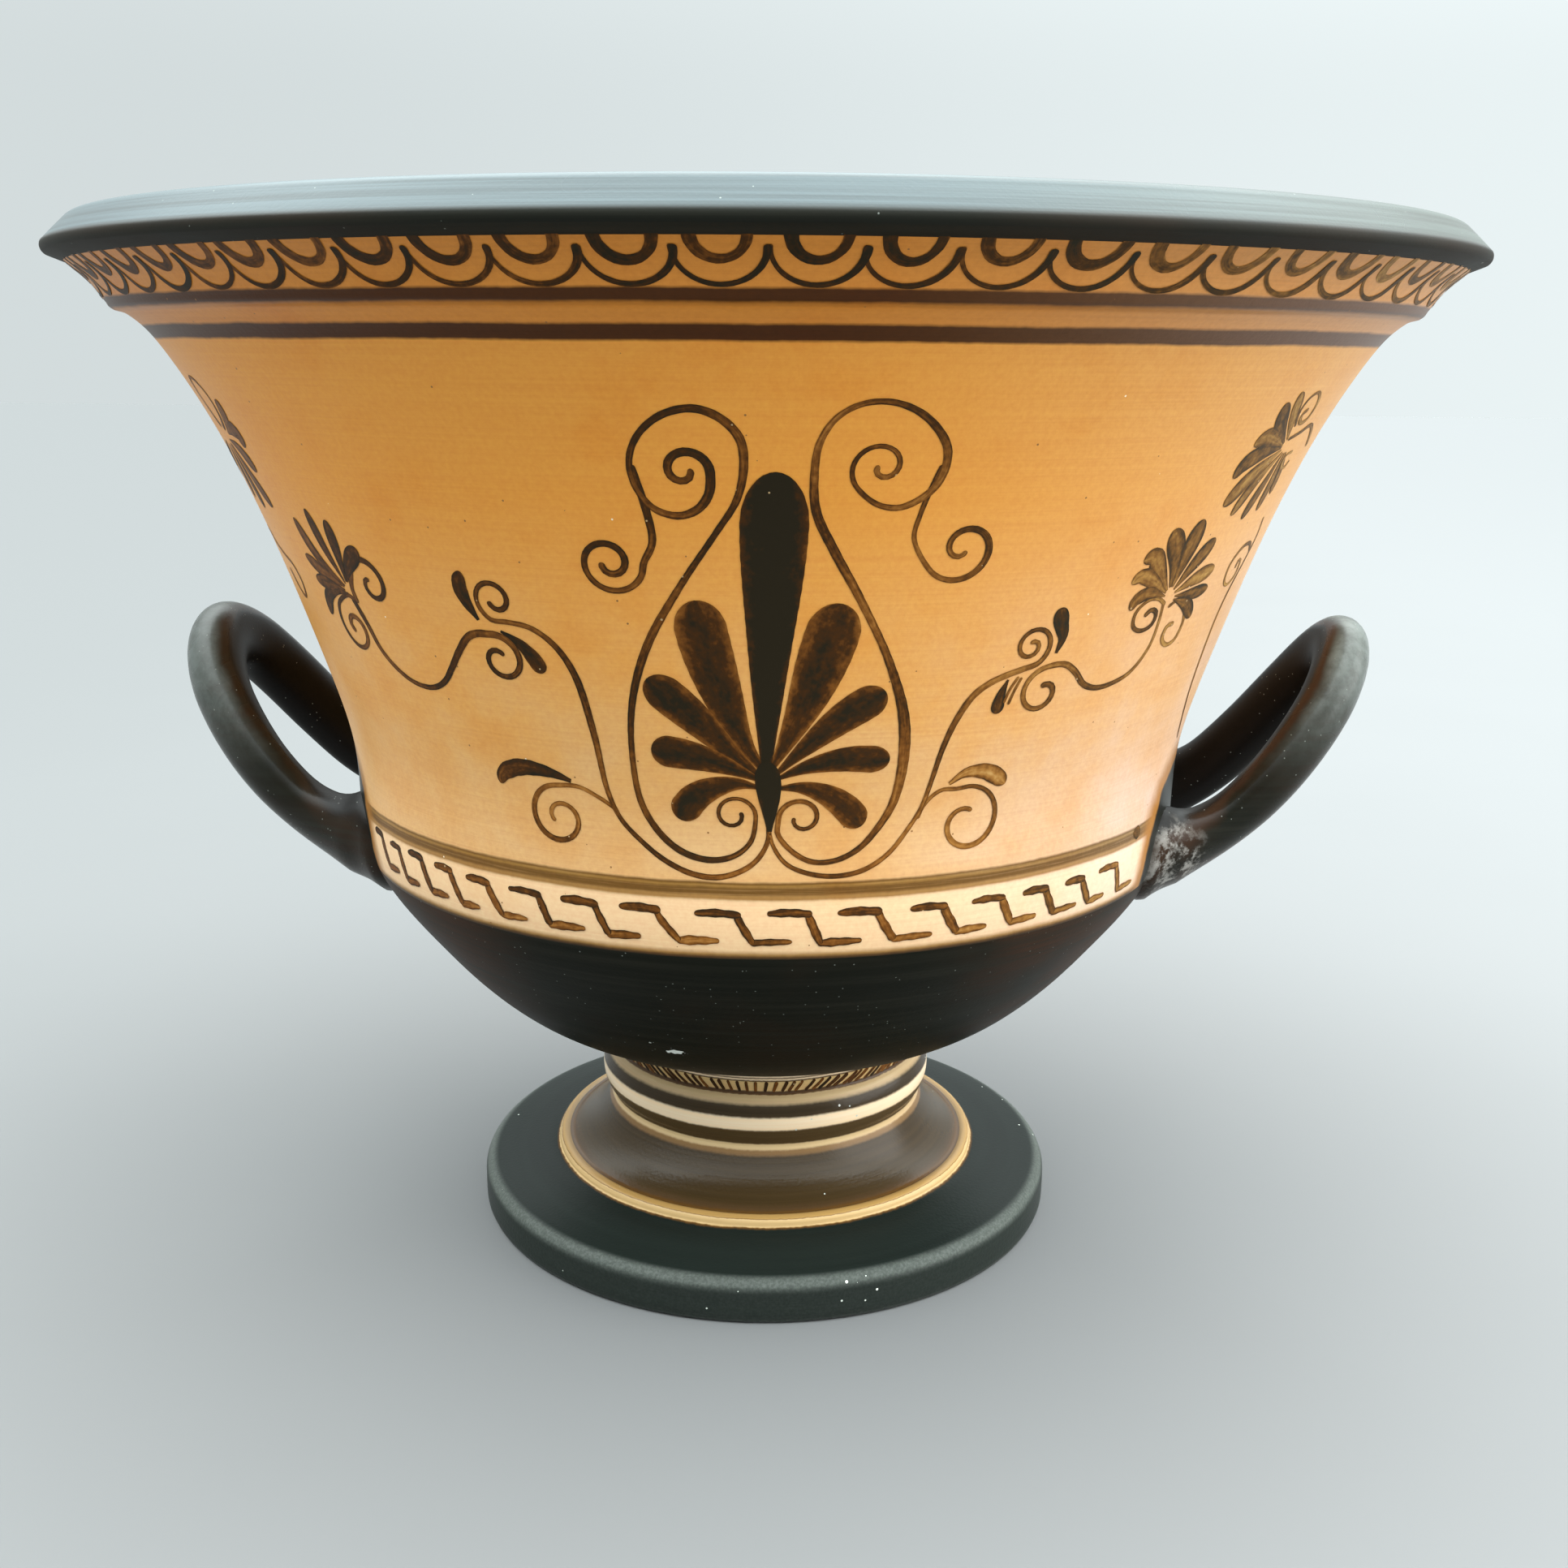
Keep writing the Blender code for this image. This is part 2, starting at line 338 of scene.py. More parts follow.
def handle_arm(side):
    """The line through the middle of one loop, from root to root."""
    top_reach = HANDLE_KNOTS[-1][0]
    arm = []
    for reach, across, height in HANDLE_KNOTS:
        lift = HANDLE_LIFTS[side] * share_past(reach, BULGE_RADIUS, top_reach - BULGE_RADIUS)
        arm.append((reach + 0.5 * lift, across * HANDLE_SPREADS[side], height + lift))
    other = [(reach, -across, height) for reach, across, height in reversed(arm[:-1])]
    return [Vector(p) for p in relax(smooth(arm + other, HANDLE_STEPS), 4)]


def drawn_to_wall(centre, offset):
    """One point of an arm's section, filleted near the wall and cut off within the clay."""
    point = centre + offset
    outside = math.hypot(point.x, point.y) - radius_at(point.z)
    near = 1.0 - share_past(outside, 0.0, FILLET_REACH)
    point += offset.normalized() * FILLET * near ** 2
    reach = math.hypot(point.x, point.y)
    shortest = radius_at(point.z) - PLUG_DEPTH
    if reach < shortest:
        point.x *= shortest / reach
        point.y *= shortest / reach
    return point


def handle(side, material):
    """One loop, whose points carry how far they face its middle, from -1 outside to 1 within."""
    path = handle_arm(side)
    top_reach = max(p.x for p in path)
    upright = Vector((-math.sin(HANDLE_TILT), 0.0, math.cos(HANDLE_TILT)))
    facing = Matrix.Rotation(math.pi if side == "left" else 0.0, 3, "Z")
    verts, faces, uvs, inner = [], [], [], []
    middle = sum(path, Vector()) / len(path)
    for i, centre in enumerate(path):
        along = (path[min(i + 1, len(path) - 1)] - path[max(i - 1, 0)]).normalized()
        outward = along.cross(upright).normalized()
        upward = outward.cross(along)
        turn = Matrix.Rotation(-HANDLE_SECTION_TURN, 3, along)
        reach = math.hypot(centre.x, centre.y)
        near = 1.0 - share_past(reach, BULGE_RADIUS, HANDLE_FLARE_LENGTH)
        buried = share_past(radius_at(centre.z) - reach, BURIED_FROM, BURIED_LENGTH)
        width = HANDLE_GIRTHS[side] * (1.0 + HANDLE_FLARE * near ** 2) * (1.0 - BURIED_TAPER * buried)
        rise = share_past(centre.x, BULGE_RADIUS, top_reach - BULGE_RADIUS)
        long_radius = width * (HANDLE_LONG_RADII[0] * (1.0 - rise) + HANDLE_LONG_RADII[1] * rise)
        short_radius = width * (HANDLE_SHORT_RADII[0] * (1.0 - rise) + HANDLE_SHORT_RADII[1] * rise)
        for k in range(HANDLE_SIDES):
            angle = math.tau * k / HANDLE_SIDES
            offset = (turn @ upward) * (math.cos(angle) * long_radius)
            offset += (turn @ outward) * (math.sin(angle) * short_radius)
            verts.append(facing @ drawn_to_wall(centre, offset) * MM)
            inner.append(offset.normalized().dot((middle - centre).normalized()))
    last = len(path) - 1
    for i in range(last):
        for k in range(HANDLE_SIDES):
            nxt = (k + 1) % HANDLE_SIDES
            low, high = i * HANDLE_SIDES, (i + 1) * HANDLE_SIDES
            faces.append((low + k, low + nxt, high + nxt, high + k))
            u, v = k / HANDLE_SIDES, i / last
            du, dv = 1 / HANDLE_SIDES, 1 / last
            uvs.extend([(u, v), (u + du, v), (u + du, v + dv), (u, v + dv)])
    add_mesh("handle_" + side, verts, faces, uvs, material, {"inner": inner})


# ---------------------------------------------------------------- brush strokes

def evenly(knots, ends):
    """Samples of a smooth path, as (turn, height, tangent, run), close together near its ends."""
    squeezed = metric(sum(height for _, height in knots) / len(knots))[0]
    fine = smooth([(turn * squeezed, height) for turn, height in knots], 10)
    fine = [(turn / squeezed, height) for turn, height in fine]
    runs, steps = [0.0], []
    for a, b in zip(fine, fine[1:]):
        per_degree, per_height = metric(0.5 * (a[1] + b[1]))
        steps.append(Vector(((b[0] - a[0]) * per_degree, (b[1] - a[1]) * per_height)))
        runs.append(runs[-1] + steps[-1].length)
    length = runs[-1]
    count = max(4, math.ceil(length / STROKE_STEP))
    wanted = {length * i / count for i in range(count + 1)}
    for share in STROKE_ENDS:
        wanted.add(min(ends * share, length))
        wanted.add(max(length - ends * share, 0.0))
    samples = []
    for run in sorted(wanted):
        i = min(max(bisect.bisect_right(runs, run) - 1, 0), len(steps) - 1)
        share = (run - runs[i]) / max(steps[i].length, 1e-9)
        turn = fine[i][0] + (fine[i + 1][0] - fine[i][0]) * share
        height = fine[i][1] + (fine[i + 1][1] - fine[i][1]) * share
        here = steps[i].normalized()
        there = steps[min(i + 1, len(steps) - 1)].normalized()
        samples.append((turn, height, (here + (there - here) * share).normalized(), run))
    return samples, length


def line(*widths):
    """A brush line with round ends, whose width runs through the given ones on its way."""
    def half(run, length):
        place = (len(widths) - 1) * run / length
        first = min(int(place), max(0, len(widths) - 2))
        second = min(first + 1, len(widths) - 1)
        full = widths[first] + (widths[second] - widths[first]) * (place - first)
        near = min(1.0, min(run, length - run) / (0.5 * full))
        return 0.5 * full * math.sqrt(max(0.0, 1.0 - (1.0 - near) ** 2))
    return half, max(widths)


def drop(width, widest=0.8, root=0.12):
    """A petal or leaf: thin at its root, widest near its tip, with a round end."""
    def half(run, length):
        share = run / length
        if share < widest:
            swell = math.sin(0.5 * math.pi * (share / widest) ** 1.2)
            return 0.5 * width * (root + (1.0 - root) * swell)
        past = (share - widest) / (1.0 - widest)
        return 0.5 * width * math.sqrt(max(0.0, 1.0 - past * past))
    return half, width


def curl(turn, height, start_radius, end_radius, start, sweep):
    """A spiral of the brush about a place, with its radii in millimetres of surface."""
    per_degree, per_height = metric(height)
    steps = max(6, round(abs(sweep) / CURL_STEP))
    places = []
    for i in range(steps + 1):
        angle = math.radians(start + sweep * i / steps)
        radius = start_radius + (end_radius - start_radius) * i / steps
        places.append((turn + radius * math.cos(angle) / per_degree,
                       height + radius * math.sin(angle) / per_height))
    return places


class Paint:
    """Brush strokes that lie on the pot, gathered into one piece.

    Each point of a stroke carries where it lies across the stroke, how far along it is, how much
    slip the brush carried there, and how much more of it pooled at the rims. The hand sways along
    a stroke, shakes at its edge, and carries slip unevenly.
    """

    def __init__(self, seed, turn=0.0, sway=0.10, edge=0.03, uneven=0.05):
        self.chance = random.Random(seed)
        self.turn, self.sway, self.edge, self.uneven = turn, sway, edge, uneven
        self.verts, self.faces, self.places = [], [], []
        self.values = {"across": [], "along": [], "load": [], "rim": []}

    def stroke(self, path, shape, load=0.6, rim=0.2, fade=0.0, lift=PAINT_LIFT):
        half, widest = shape
        samples, length = evenly(path, 0.5 * widest)
        start = self.chance.uniform(0.0, 500.0)
        first = len(self.verts)
        for turn, height, tangent, run in samples:
            per_degree, per_height = metric(height)
            phase = start + run
            waver = self.sway * math.sin(phase / SWAY_LENGTH) + self.edge * math.sin(phase * SHAKE_RATE)
            reach = half(run, length) * (1.0 + waver)
            carried = load - fade * run / length + self.uneven * math.sin(phase / UNEVEN_LENGTH)
            for across in ACROSS:
                place = (turn - tangent.y * across * reach / per_degree,
                         height + tangent.x * across * reach / per_height)
                raised = lift + STROKE_RISE * run / length
                self.verts.append(on_pot(self.turn + place[0], place[1], raised))
                self.places.append(place)
                self.values["across"].append(across)
                self.values["along"].append(start + run)
                self.values["load"].append(carried)
                self.values["rim"].append(rim)
        wide = len(ACROSS)
        for i in range(len(samples) - 1):
            for k in range(wide - 1):
                a = first + i * wide + k
                self.faces.append((a, a + wide, a + wide + 1, a + 1))

    def finish(self, name, material):
        turns = [turn for turn, _ in self.places]
        heights = [height for _, height in self.places]
        left, bottom = min(turns), min(heights)
        span, rise = max(turns) - left, max(heights) - bottom
        spots = [((turn - left) / span, (height - bottom) / rise) for turn, height in self.places]
        uvs = [spots[vertex] for face in self.faces for vertex in face]
        add_mesh(name, self.verts, self.faces, uvs, material, self.values)


# ---------------------------------------------------------------- the ornament

# The central palmette's petals: load of slip, width, and path from root to tip
CENTRAL_PETALS = [
    (0.85, 5.3, [(-0.6, 116.2), (-3.0, 117.0), (-5.6, 116.2), (-7.8, 114.2), (-9.7, 110.2)]),
    (0.82, 5.2, [(1.0, 116.2), (3.8, 116.3), (6.6, 114.8), (8.8, 112.2), (10.5, 108.9)]),
    (0.85, 6.2, [(-0.6, 117.6), (-4.2, 120.2), (-7.7, 121.9), (-12.1, 122.9)]),
    (0.85, 5.3, [(1.0, 117.9), (4.4, 120.2), (8.4, 121.4), (13.0, 121.0)]),
    (0.85, 6.5, [(-0.4, 117.9), (-3.6, 122.6), (-7.4, 128.9), (-11.8, 135.4)]),
    (0.85, 6.1, [(0.8, 118.5), (3.8, 123.4), (7.6, 128.9), (11.7, 133.4)]),
    (0.82, 8.8, [(-0.3, 119.3), (-2.3, 124.2), (-4.1, 131.5), (-5.8, 141.3), (-6.6, 149.0)]),
    (0.8, 8.7, [(0.3, 119.3), (1.8, 124.0), (3.8, 131.6), (5.6, 141.0), (6.7, 148.6)]),
    (1.15, 10.1, [(-0.1, 117.4), (0.1, 135.7), (0.4, 152.4), (0.6, 169.4)]),
]

# The small palmettes, left ones first: load, rim, and the width and path of each petal
FANS = [
    (0.62, 0.2, [
        (3.1, [(-48.2, 146.2), (-51.8, 148.2), (-55.0, 150.7)]),
        (3.0, [(-48.0, 146.4), (-51.2, 150.2), (-52.7, 153.6), (-53.6, 157.7)]),
        (2.9, [(-47.7, 146.8), (-49.2, 153.2), (-49.8, 159.8)]),
        (3.1, [(-47.4, 147.2), (-46.9, 152.6), (-46.5, 158.3)]),
        (3.6, [(-47.2, 147.2), (-45.6, 150.4), (-42.9, 153.8)]),
        (2.8, [(-48.3, 145.6), (-51.3, 146.1), (-54.6, 146.5)]),
        (2.9, [(-47.9, 145.0), (-50.8, 145.0), (-53.2, 143.4), (-54.5, 139.9)]),
    ]),
    (0.55, 0.2, [
        (3.2, [(-61.2, 172.0), (-59.0, 174.8), (-58.0, 177.7)]),
        (3.8, [(-61.6, 171.6), (-59.6, 172.4), (-57.8, 172.0), (-57.9, 169.4)]),
        (3.8, [(-62.8, 170.4), (-60.4, 168.8), (-58.1, 165.3)]),
        (3.3, [(-63.4, 169.8), (-61.8, 165.0), (-59.0, 158.7)]),
        (3.0, [(-64.0, 169.6), (-63.9, 164.6), (-63.0, 158.0)]),
        (3.0, [(-65.0, 169.4), (-66.2, 164.8), (-66.8, 159.4)]),
        (3.0, [(-66.2, 170.0), (-69.2, 166.6), (-71.4, 162.8)]),
    ]),
    (0.4, 0.32, [
        (2.8, [(43.6, 146.2), (40.6, 147.2), (38.9, 146.2), (38.5, 144.4)]),
        (3.2, [(43.5, 146.8), (40.6, 149.3), (38.4, 150.5), (37.3, 149.4)]),
        (3.8, [(43.6, 147.2), (41.0, 151.2), (39.2, 153.8), (37.9, 153.2)]),
        (4.7, [(43.9, 147.7), (43.0, 152.9), (40.7, 158.3)]),
        (5.0, [(44.3, 147.7), (44.6, 153.1), (45.0, 159.6)]),
        (4.1, [(44.8, 147.2), (46.7, 151.2), (49.2, 155.6)]),
        (3.5, [(45.2, 146.6), (48.3, 148.6), (51.9, 149.9)]),
        (2.8, [(45.5, 145.9), (49.0, 145.8), (52.3, 146.2)]),
        (3.1, [(45.5, 145.3), (48.7, 143.8), (50.9, 141.1)]),
    ]),
    (0.46, 0.28, [
        (2.9, [(54.6, 172.3), (52.9, 176.0), (51.0, 180.6)]),
        (3.8, [(54.2, 171.8), (50.9, 175.0), (49.2, 178.8)]),
        (3.5, [(54.2, 171.4), (51.0, 172.8), (49.2, 173.2), (47.6, 172.0)]),
        (4.2, [(54.2, 171.0), (50.4, 170.4), (47.8, 168.8), (46.8, 166.4)]),
        (4.1, [(54.6, 170.6), (50.8, 166.8), (47.5, 161.6)]),
        (3.2, [(55.2, 170.2), (52.2, 165.0), (50.1, 159.6)]),
        (2.9, [(55.6, 170.0), (54.7, 164.4), (53.2, 158.5)]),
        (2.7, [(56.0, 170.0), (56.8, 164.4), (56.7, 159.6)]),
        (2.4, [(56.4, 170.1), (57.9, 166.2), (58.6, 162.4)]),
    ]),
]

# The scrolls, left ones first: load, widths along the line, knots, and the spirals at its end
# and at its start, each told from its outer end as for curl
SCROLLS = [
    (0.62, (1.2, 1.35, 1.15, 1.3, 1.15, 1.25, 1.2, 0.9, 0.75), [(-4.75, 165.9), (-5.7, 163.6),
     (-7.3, 162.5), (-9.2, 163.4), (-10.4, 165.9), (-10.9, 169.0), (-10.7, 172.0), (-9.6, 175.3),
     (-7.7, 177.8), (-5.5, 178.6), (-3.6, 177.3), (-2.2, 174.4), (-1.9, 170.6), (-2.5, 165.2),
     (-4.3, 160.0), (-7.9, 150.8), (-11.3, 141.2), (-13.4, 131.8), (-14.2, 122.9), (-13.9, 113.3),
     (-12.3, 108.1), (-9.7, 104.4), (-6.3, 102.9), (-3.4, 103.9), (-1.7, 106.5)],
     (-3.6, 111.2, 3.8, 1.2, -15, 400), (-6.6, 169.4, 4.0, 0.7, -12, 395)),
    (0.6, (1.1, 1.25, 1.0), [(-10.8, 170.2), (-10.5, 167.6), (-10.0, 163.2), (-9.8, 158.2)],
     (-13.9, 154.7, 5.6, 1.1, 2, -545)),
    (0.55, (0.8, 0.95, 1.1, 1.2, 1.1, 0.9), [(0.2, 109.9), (0.1, 106.3), (-1.1, 103.0), (-3.0, 100.9),
     (-5.6, 99.8), (-8.4, 100.3), (-11.4, 102.4), (-13.8, 105.2), (-16.4, 109.5), (-17.6, 114.5),
     (-18.2, 125.0), (-19.2, 135.4), (-20.8, 140.3), (-23.0, 143.0), (-25.4, 143.7)],
     (-26.3, 147.4, 4.1, 1.2, -112, -414)),
    (0.62, (1.2,), [(-47.4, 144.4), (-46.3, 139.9), (-45.3, 135.3), (-43.3, 132.0), (-40.8, 130.1),
     (-38.0, 129.9), (-35.9, 131.4), (-34.1, 134.4), (-32.6, 137.3), (-30.7, 140.4), (-29.4, 141.2)],
     (-27.4, 136.9, 4.8, 1.2, 106, -428)),
    (0.42, (0.95,), [(-16.9, 111.2), (-18.8, 113.1), (-21.1, 114.7)], (-23.9, 108.6, 6.1, 1.3, 84, 496)),
    (0.62, (1.1,), [(-46.6, 143.5), (-46.7, 146.1)], (-42.8, 147.6, 5.4, 0.6, 167, -440)),
    (0.58, (1.0,), [(-47.0, 144.0), (-48.1, 144.7)], (-49.1, 138.6, 5.6, 0.8, 104, 490)),
    (0.4, (0.8,), [(-69.8, 153.6), (-67.2, 150.6), (-64.4, 149.0), (-61.9, 147.4), (-61.1, 144.4),
     (-62.4, 141.4), (-63.9, 142.6), (-65.2, 146.4)]),
    (0.5, (0.8,), [(-62.4, 172.2), (-60.9, 174.6), (-60.4, 178.0), (-61.6, 180.7), (-63.6, 181.2),
     (-64.6, 178.6), (-64.2, 175.4), (-63.2, 172.6)]),
    (0.5, (0.85, 0.95, 1.2, 1.15, 1.3, 1.5, 1.8, 1.4, 0.85, 0.7), [(8.9, 164.4), (10.7, 163.9),
     (12.3, 165.1), (13.4, 166.9), (14.0, 169.5), (13.9, 172.8), (12.8, 175.8), (11.0, 178.4),
     (8.9, 179.7), (6.8, 179.4), (5.0, 177.4), (3.9, 173.9), (3.6, 169.5), (3.9, 163.4), (5.6, 157.2),
     (8.4, 148.9), (11.7, 138.4), (13.9, 128.6), (14.5, 120.0), (13.9, 112.8), (12.3, 108.2),
     (10.4, 104.9), (7.9, 102.9), (5.1, 102.7), (2.7, 104.8), (1.2, 107.9)],
     (3.8, 110.6, 4.0, 1.2, 192, -380), (8.9, 170.1, 5.0, 0.4, 232, -432)),
    (0.5, (1.0, 0.9, 1.1, 0.9), [(13.8, 170.4), (13.1, 166.3), (12.6, 162.7), (12.4, 159.0)],
     (17.0, 157.2, 6.2, 0.6, -150, 475)),
    (0.45, (0.7, 0.8, 1.0, 1.15, 1.1, 0.9), [(0.2, 109.9), (0.6, 106.1), (2.1, 102.5), (4.7, 100.6),
     (7.8, 100.0), (11.0, 100.9), (13.8, 103.6), (15.8, 107.5), (17.3, 111.6), (18.1, 116.6),
     (18.8, 122.6), (19.8, 127.8), (21.2, 131.9), (22.9, 134.0), (24.6, 135.1), (26.3, 135.9)],
     (26.7, 139.9, 4.0, 0.5, -58, 550)),
    (0.45, (0.9, 0.9, 0.95, 1.2, 1.2, 1.2), [(43.8, 145.3), (44.3, 141.3), (44.2, 136.9), (42.4, 132.8),
     (39.8, 131.1), (37.1, 130.7), (35.0, 131.8), (33.3, 134.3), (31.5, 136.0)],
     (29.5, 131.3, 4.8, 1.1, 96, 383)),
    (0.42, (0.95,), [(16.9, 109.6), (17.7, 112.4), (19.4, 114.6)], (23.1, 108.2, 7.0, 2.2, 112, -405)),
    (0.5, (0.95,), [(44.2, 144.6), (42.6, 145.9), (40.9, 145.8), (39.6, 143.9), (39.9, 141.4),
     (41.5, 140.3), (43.1, 141.2), (43.2, 143.1), (42.1, 144.0), (41.2, 143.0)]),
    (0.4, (0.85,), [(45.0, 144.0), (46.4, 144.9), (48.4, 143.4), (49.6, 140.2), (49.2, 137.3),
     (47.7, 136.5), (46.2, 138.0), (46.3, 140.2), (47.5, 140.6)]),
    (0.4, (0.6,), [(26.4, 134.4), (25.9, 132.2), (25.5, 129.6)]),
    (0.35, (0.5,), [(26.0, 134.6), (25.3, 132.4), (24.9, 130.0)]),
    (0.42, (0.8,), [(61.2, 157.8), (62.4, 154.0), (62.0, 150.3), (61.3, 147.3), (60.4, 143.4),
     (60.1, 139.0), (60.6, 133.0), (62.2, 124.0), (66.5, 113.0)]),
    (0.42, (0.8,), [(61.9, 151.5), (60.6, 153.0), (58.2, 152.6), (56.4, 149.6), (57.0, 146.4),
     (58.7, 145.6), (60.2, 147.2), (59.9, 149.8), (58.9, 150.0), (58.9, 148.6)]),
    (0.42, (0.8,), [(54.9, 172.4), (57.4, 173.5), (59.6, 174.6), (61.6, 173.2), (63.6, 170.6)]),
    (0.45, (0.8,), [(54.6, 174.6), (53.5, 177.2), (53.8, 179.4), (55.3, 180.4), (57.0, 178.4),
     (57.0, 176.0), (55.4, 175.2), (54.6, 176.6), (55.4, 177.6)]),
    (0.4, (0.6,), [(58.6, 170.0), (57.1, 169.4), (57.2, 167.7), (58.8, 167.2), (59.3, 168.4)]),
]

# The comma leaves: load, rim, width, where each is widest, and path from tail to bulb
LEAVES = [
    (0.85, -0.1, 3.0, 0.72, [(-28.8, 143.6), (-29.7, 146.6), (-30.0, 149.2), (-29.5, 151.9)]),
    (0.85, -0.1, 3.0, 0.8, [(-26.5, 142.0), (-24.7, 140.2), (-23.5, 137.9), (-22.6, 135.2)]),
    (0.66, 0.2, 3.8, 0.72, [(-21.9, 115.6), (-23.6, 116.5), (-25.6, 117.1), (-27.8, 117.2),
     (-29.6, 116.5), (-30.9, 115.2), (-31.5, 113.4)]),
    (0.62, 0.25, 2.7, 0.8, [(29.9, 138.2), (30.2, 141.0), (29.5, 143.6), (28.9, 146.3)]),
    (0.58, 0.25, 2.2, 0.8, [(24.8, 134.2), (24.3, 131.1), (24.3, 128.1)]),
    (0.3, 0.5, 3.2, 0.8, [(20.3, 115.7), (22.1, 117.5), (24.4, 117.5), (26.1, 116.3), (27.5, 114.6)]),
]

# The running key, the tongues with the thin arcs that hang from cusps, and the neck's hatching
KEY_STARTS = (-62.6, -56.8, -51.4, -45.2, -39.1, -32.1, -24.7, -17.2, -8.3, 0.0, 8.0, 16.6, 24.5,
              31.8, 38.8, 45.4)
KEY_END = 52.6
KEY_TOP, KEY_BOTTOM = 93.3, 87.8
TONGUES = 65
TONGUE_TOP, TONGUE_MIDDLE, TONGUE_DEPTH = 202.4, 201.3, 3.0
CUSP_TOP, CUSP_MIDDLE, CUSP_DEPTH = 200.1, 199.7, 4.5
HATCHES = 116
HATCH_HEIGHTS = (38.5, 37.5, 36.3)
MOST_LEAN = 6.5


def central_palmette(paint):
    """The petals, in pairs from the lowest up, the tall one, and the heart that covers their roots."""
    for load, width, path in CENTRAL_PETALS:
        paint.stroke(path, drop(width, 0.84), load=load, rim=-0.40)
    paint.stroke([(0.3, 108.2), (0.3, 112.1), (0.2, 116.0), (-0.1, 121.2)],
                 drop(4.2, 0.72, root=0.2), load=1.1, rim=-0.2, lift=0.09)


def small_palmettes(paint):
    """The four fans of petals at the ends of the scrolls, each petal of a load of its own."""
    for load, rim, petals in FANS:
        for width, path in petals:
            paint.stroke(path, drop(width, 0.7), load=load + paint.chance.uniform(-0.12, 0.12), rim=rim)


def scrolls_and_leaves(paint):
    """Brush lines that may end and begin in a spiral, and then the leaves beside them."""
    for load, widths, knots, *spirals in SCROLLS:
        end, start = (spirals + [None, None])[:2]
        path = curl(*start)[::-1] + knots if start else knots
        paint.stroke(path + curl(*end) if end else path, line(*widths), load=load)
    for load, rim, width, widest, path in LEAVES:
        paint.stroke(path, drop(width, widest, root=0.2), load=load, rim=rim)


def running_key(paint):
    """Stepped strokes that follow each other around the band under the panel.

    The painter's hand drifts: the band's left end stands a little higher, its right end lower. A
    dab ends the double line above the key, beside the right handle.
    """
    vary = paint.chance.uniform
    for start, following in zip(KEY_STARTS, KEY_STARTS[1:] + (KEY_END,)):
        pitch = following - start
        drift = max(0.0, -25.0 - start) * 0.035 - max(0.0, start - 15.0) * 0.012
        top = KEY_TOP + drift + vary(-0.2, 0.25)
        bottom = KEY_BOTTOM + 0.8 * drift + vary(-0.25, 0.25)
        load = vary(0.36, 0.62)
        bend = start + (0.57 + vary(-0.05, 0.05)) * pitch
        foot = start + (0.81 + vary(-0.03, 0.03)) * pitch
        end = start + (1.37 + vary(-0.06, 0.06)) * pitch
        middle = 0.5 * (start + bend)
        paint.stroke([(start + 0.1, top - 0.1), (middle, top + 0.1), (bend + 0.4, top - 0.2)],
                     line(0.9, 1.5 + vary(-0.1, 0.2), 1.5, 1.4), load=load + 0.12, rim=0.3)
        paint.stroke([(bend - 0.3, top + 0.45), (bend + 0.2, top - 1.4), (foot, bottom - 0.35)],
                     line(1.3, 1.6 + vary(-0.1, 0.2), 1.4), load=load, rim=0.35, lift=0.08)
        paint.stroke([(foot - 0.4, bottom - 0.2), (foot + 1.4, bottom), (end, bottom + 0.1)],
                     line(1.4, 1.6 + vary(-0.2, 0.3), 1.5, 0.9), load=load - 0.12, rim=0.4,
                     lift=0.1)
    paint.stroke([(53.7, 98.0), (54.7, 97.7), (55.7, 97.5)], line(1.5, 2.4, 2.0))


def tongue_place(count):
    """The turn of one tongue's middle. They stand closer together at the left, wider behind."""
    turn = 360.0 * count / TONGUES - 2.8
    away = (turn + 180.0) % 360.0 - 180.0
    return turn + 2.7 * max(share_past(-away, 18.0, 32.0), share_past(away, 90.0, 90.0))


def tongue_frieze(paint):
    """A row of tongues around the collar: a thick U inside a thin arc that hangs from cusps.

    The slip runs paler towards the right of the front.
    """
    vary = paint.chance.uniform
    for i in range(TONGUES):
        place = tongue_place(i)
        middle = place + vary(-0.12, 0.12)
        pale = share_past(place, 12.0, 45.0) if place < 90.0 else 0.0
        reach = 1.62 + vary(-0.1, 0.12)
        depth = TONGUE_DEPTH + vary(-0.15, 0.2)
        paint.stroke([(middle - reach, TONGUE_TOP)]
                     + arc((middle, TONGUE_MIDDLE), reach, 180, 360, 8, depth)
                     + [(middle + reach, TONGUE_TOP)],
                     line(2.0, 2.0 + vary(-0.2, 0.3), 1.5 + vary(-0.2, 0.2), 1.8),
                     load=vary(0.72, 0.94) - 0.3 * pale,
                     fade=vary(0.0, 0.25), rim=-0.12)
        reach = 0.5 * (tongue_place(i + 1) - place) % 180.0
        paint.stroke([(middle - reach, CUSP_TOP)]
                     + arc((middle, CUSP_MIDDLE), reach, 192, 348, 8, CUSP_DEPTH)
                     + [(middle + reach, CUSP_TOP)],
                     line(0.7, 0.8 + vary(-0.1, 0.1), 0.95 + vary(-0.1, 0.15), 1.3),
                     load=vary(0.60, 0.78) - 0.22 * pale, fade=-0.2, lift=0.09, rim=-0.05)


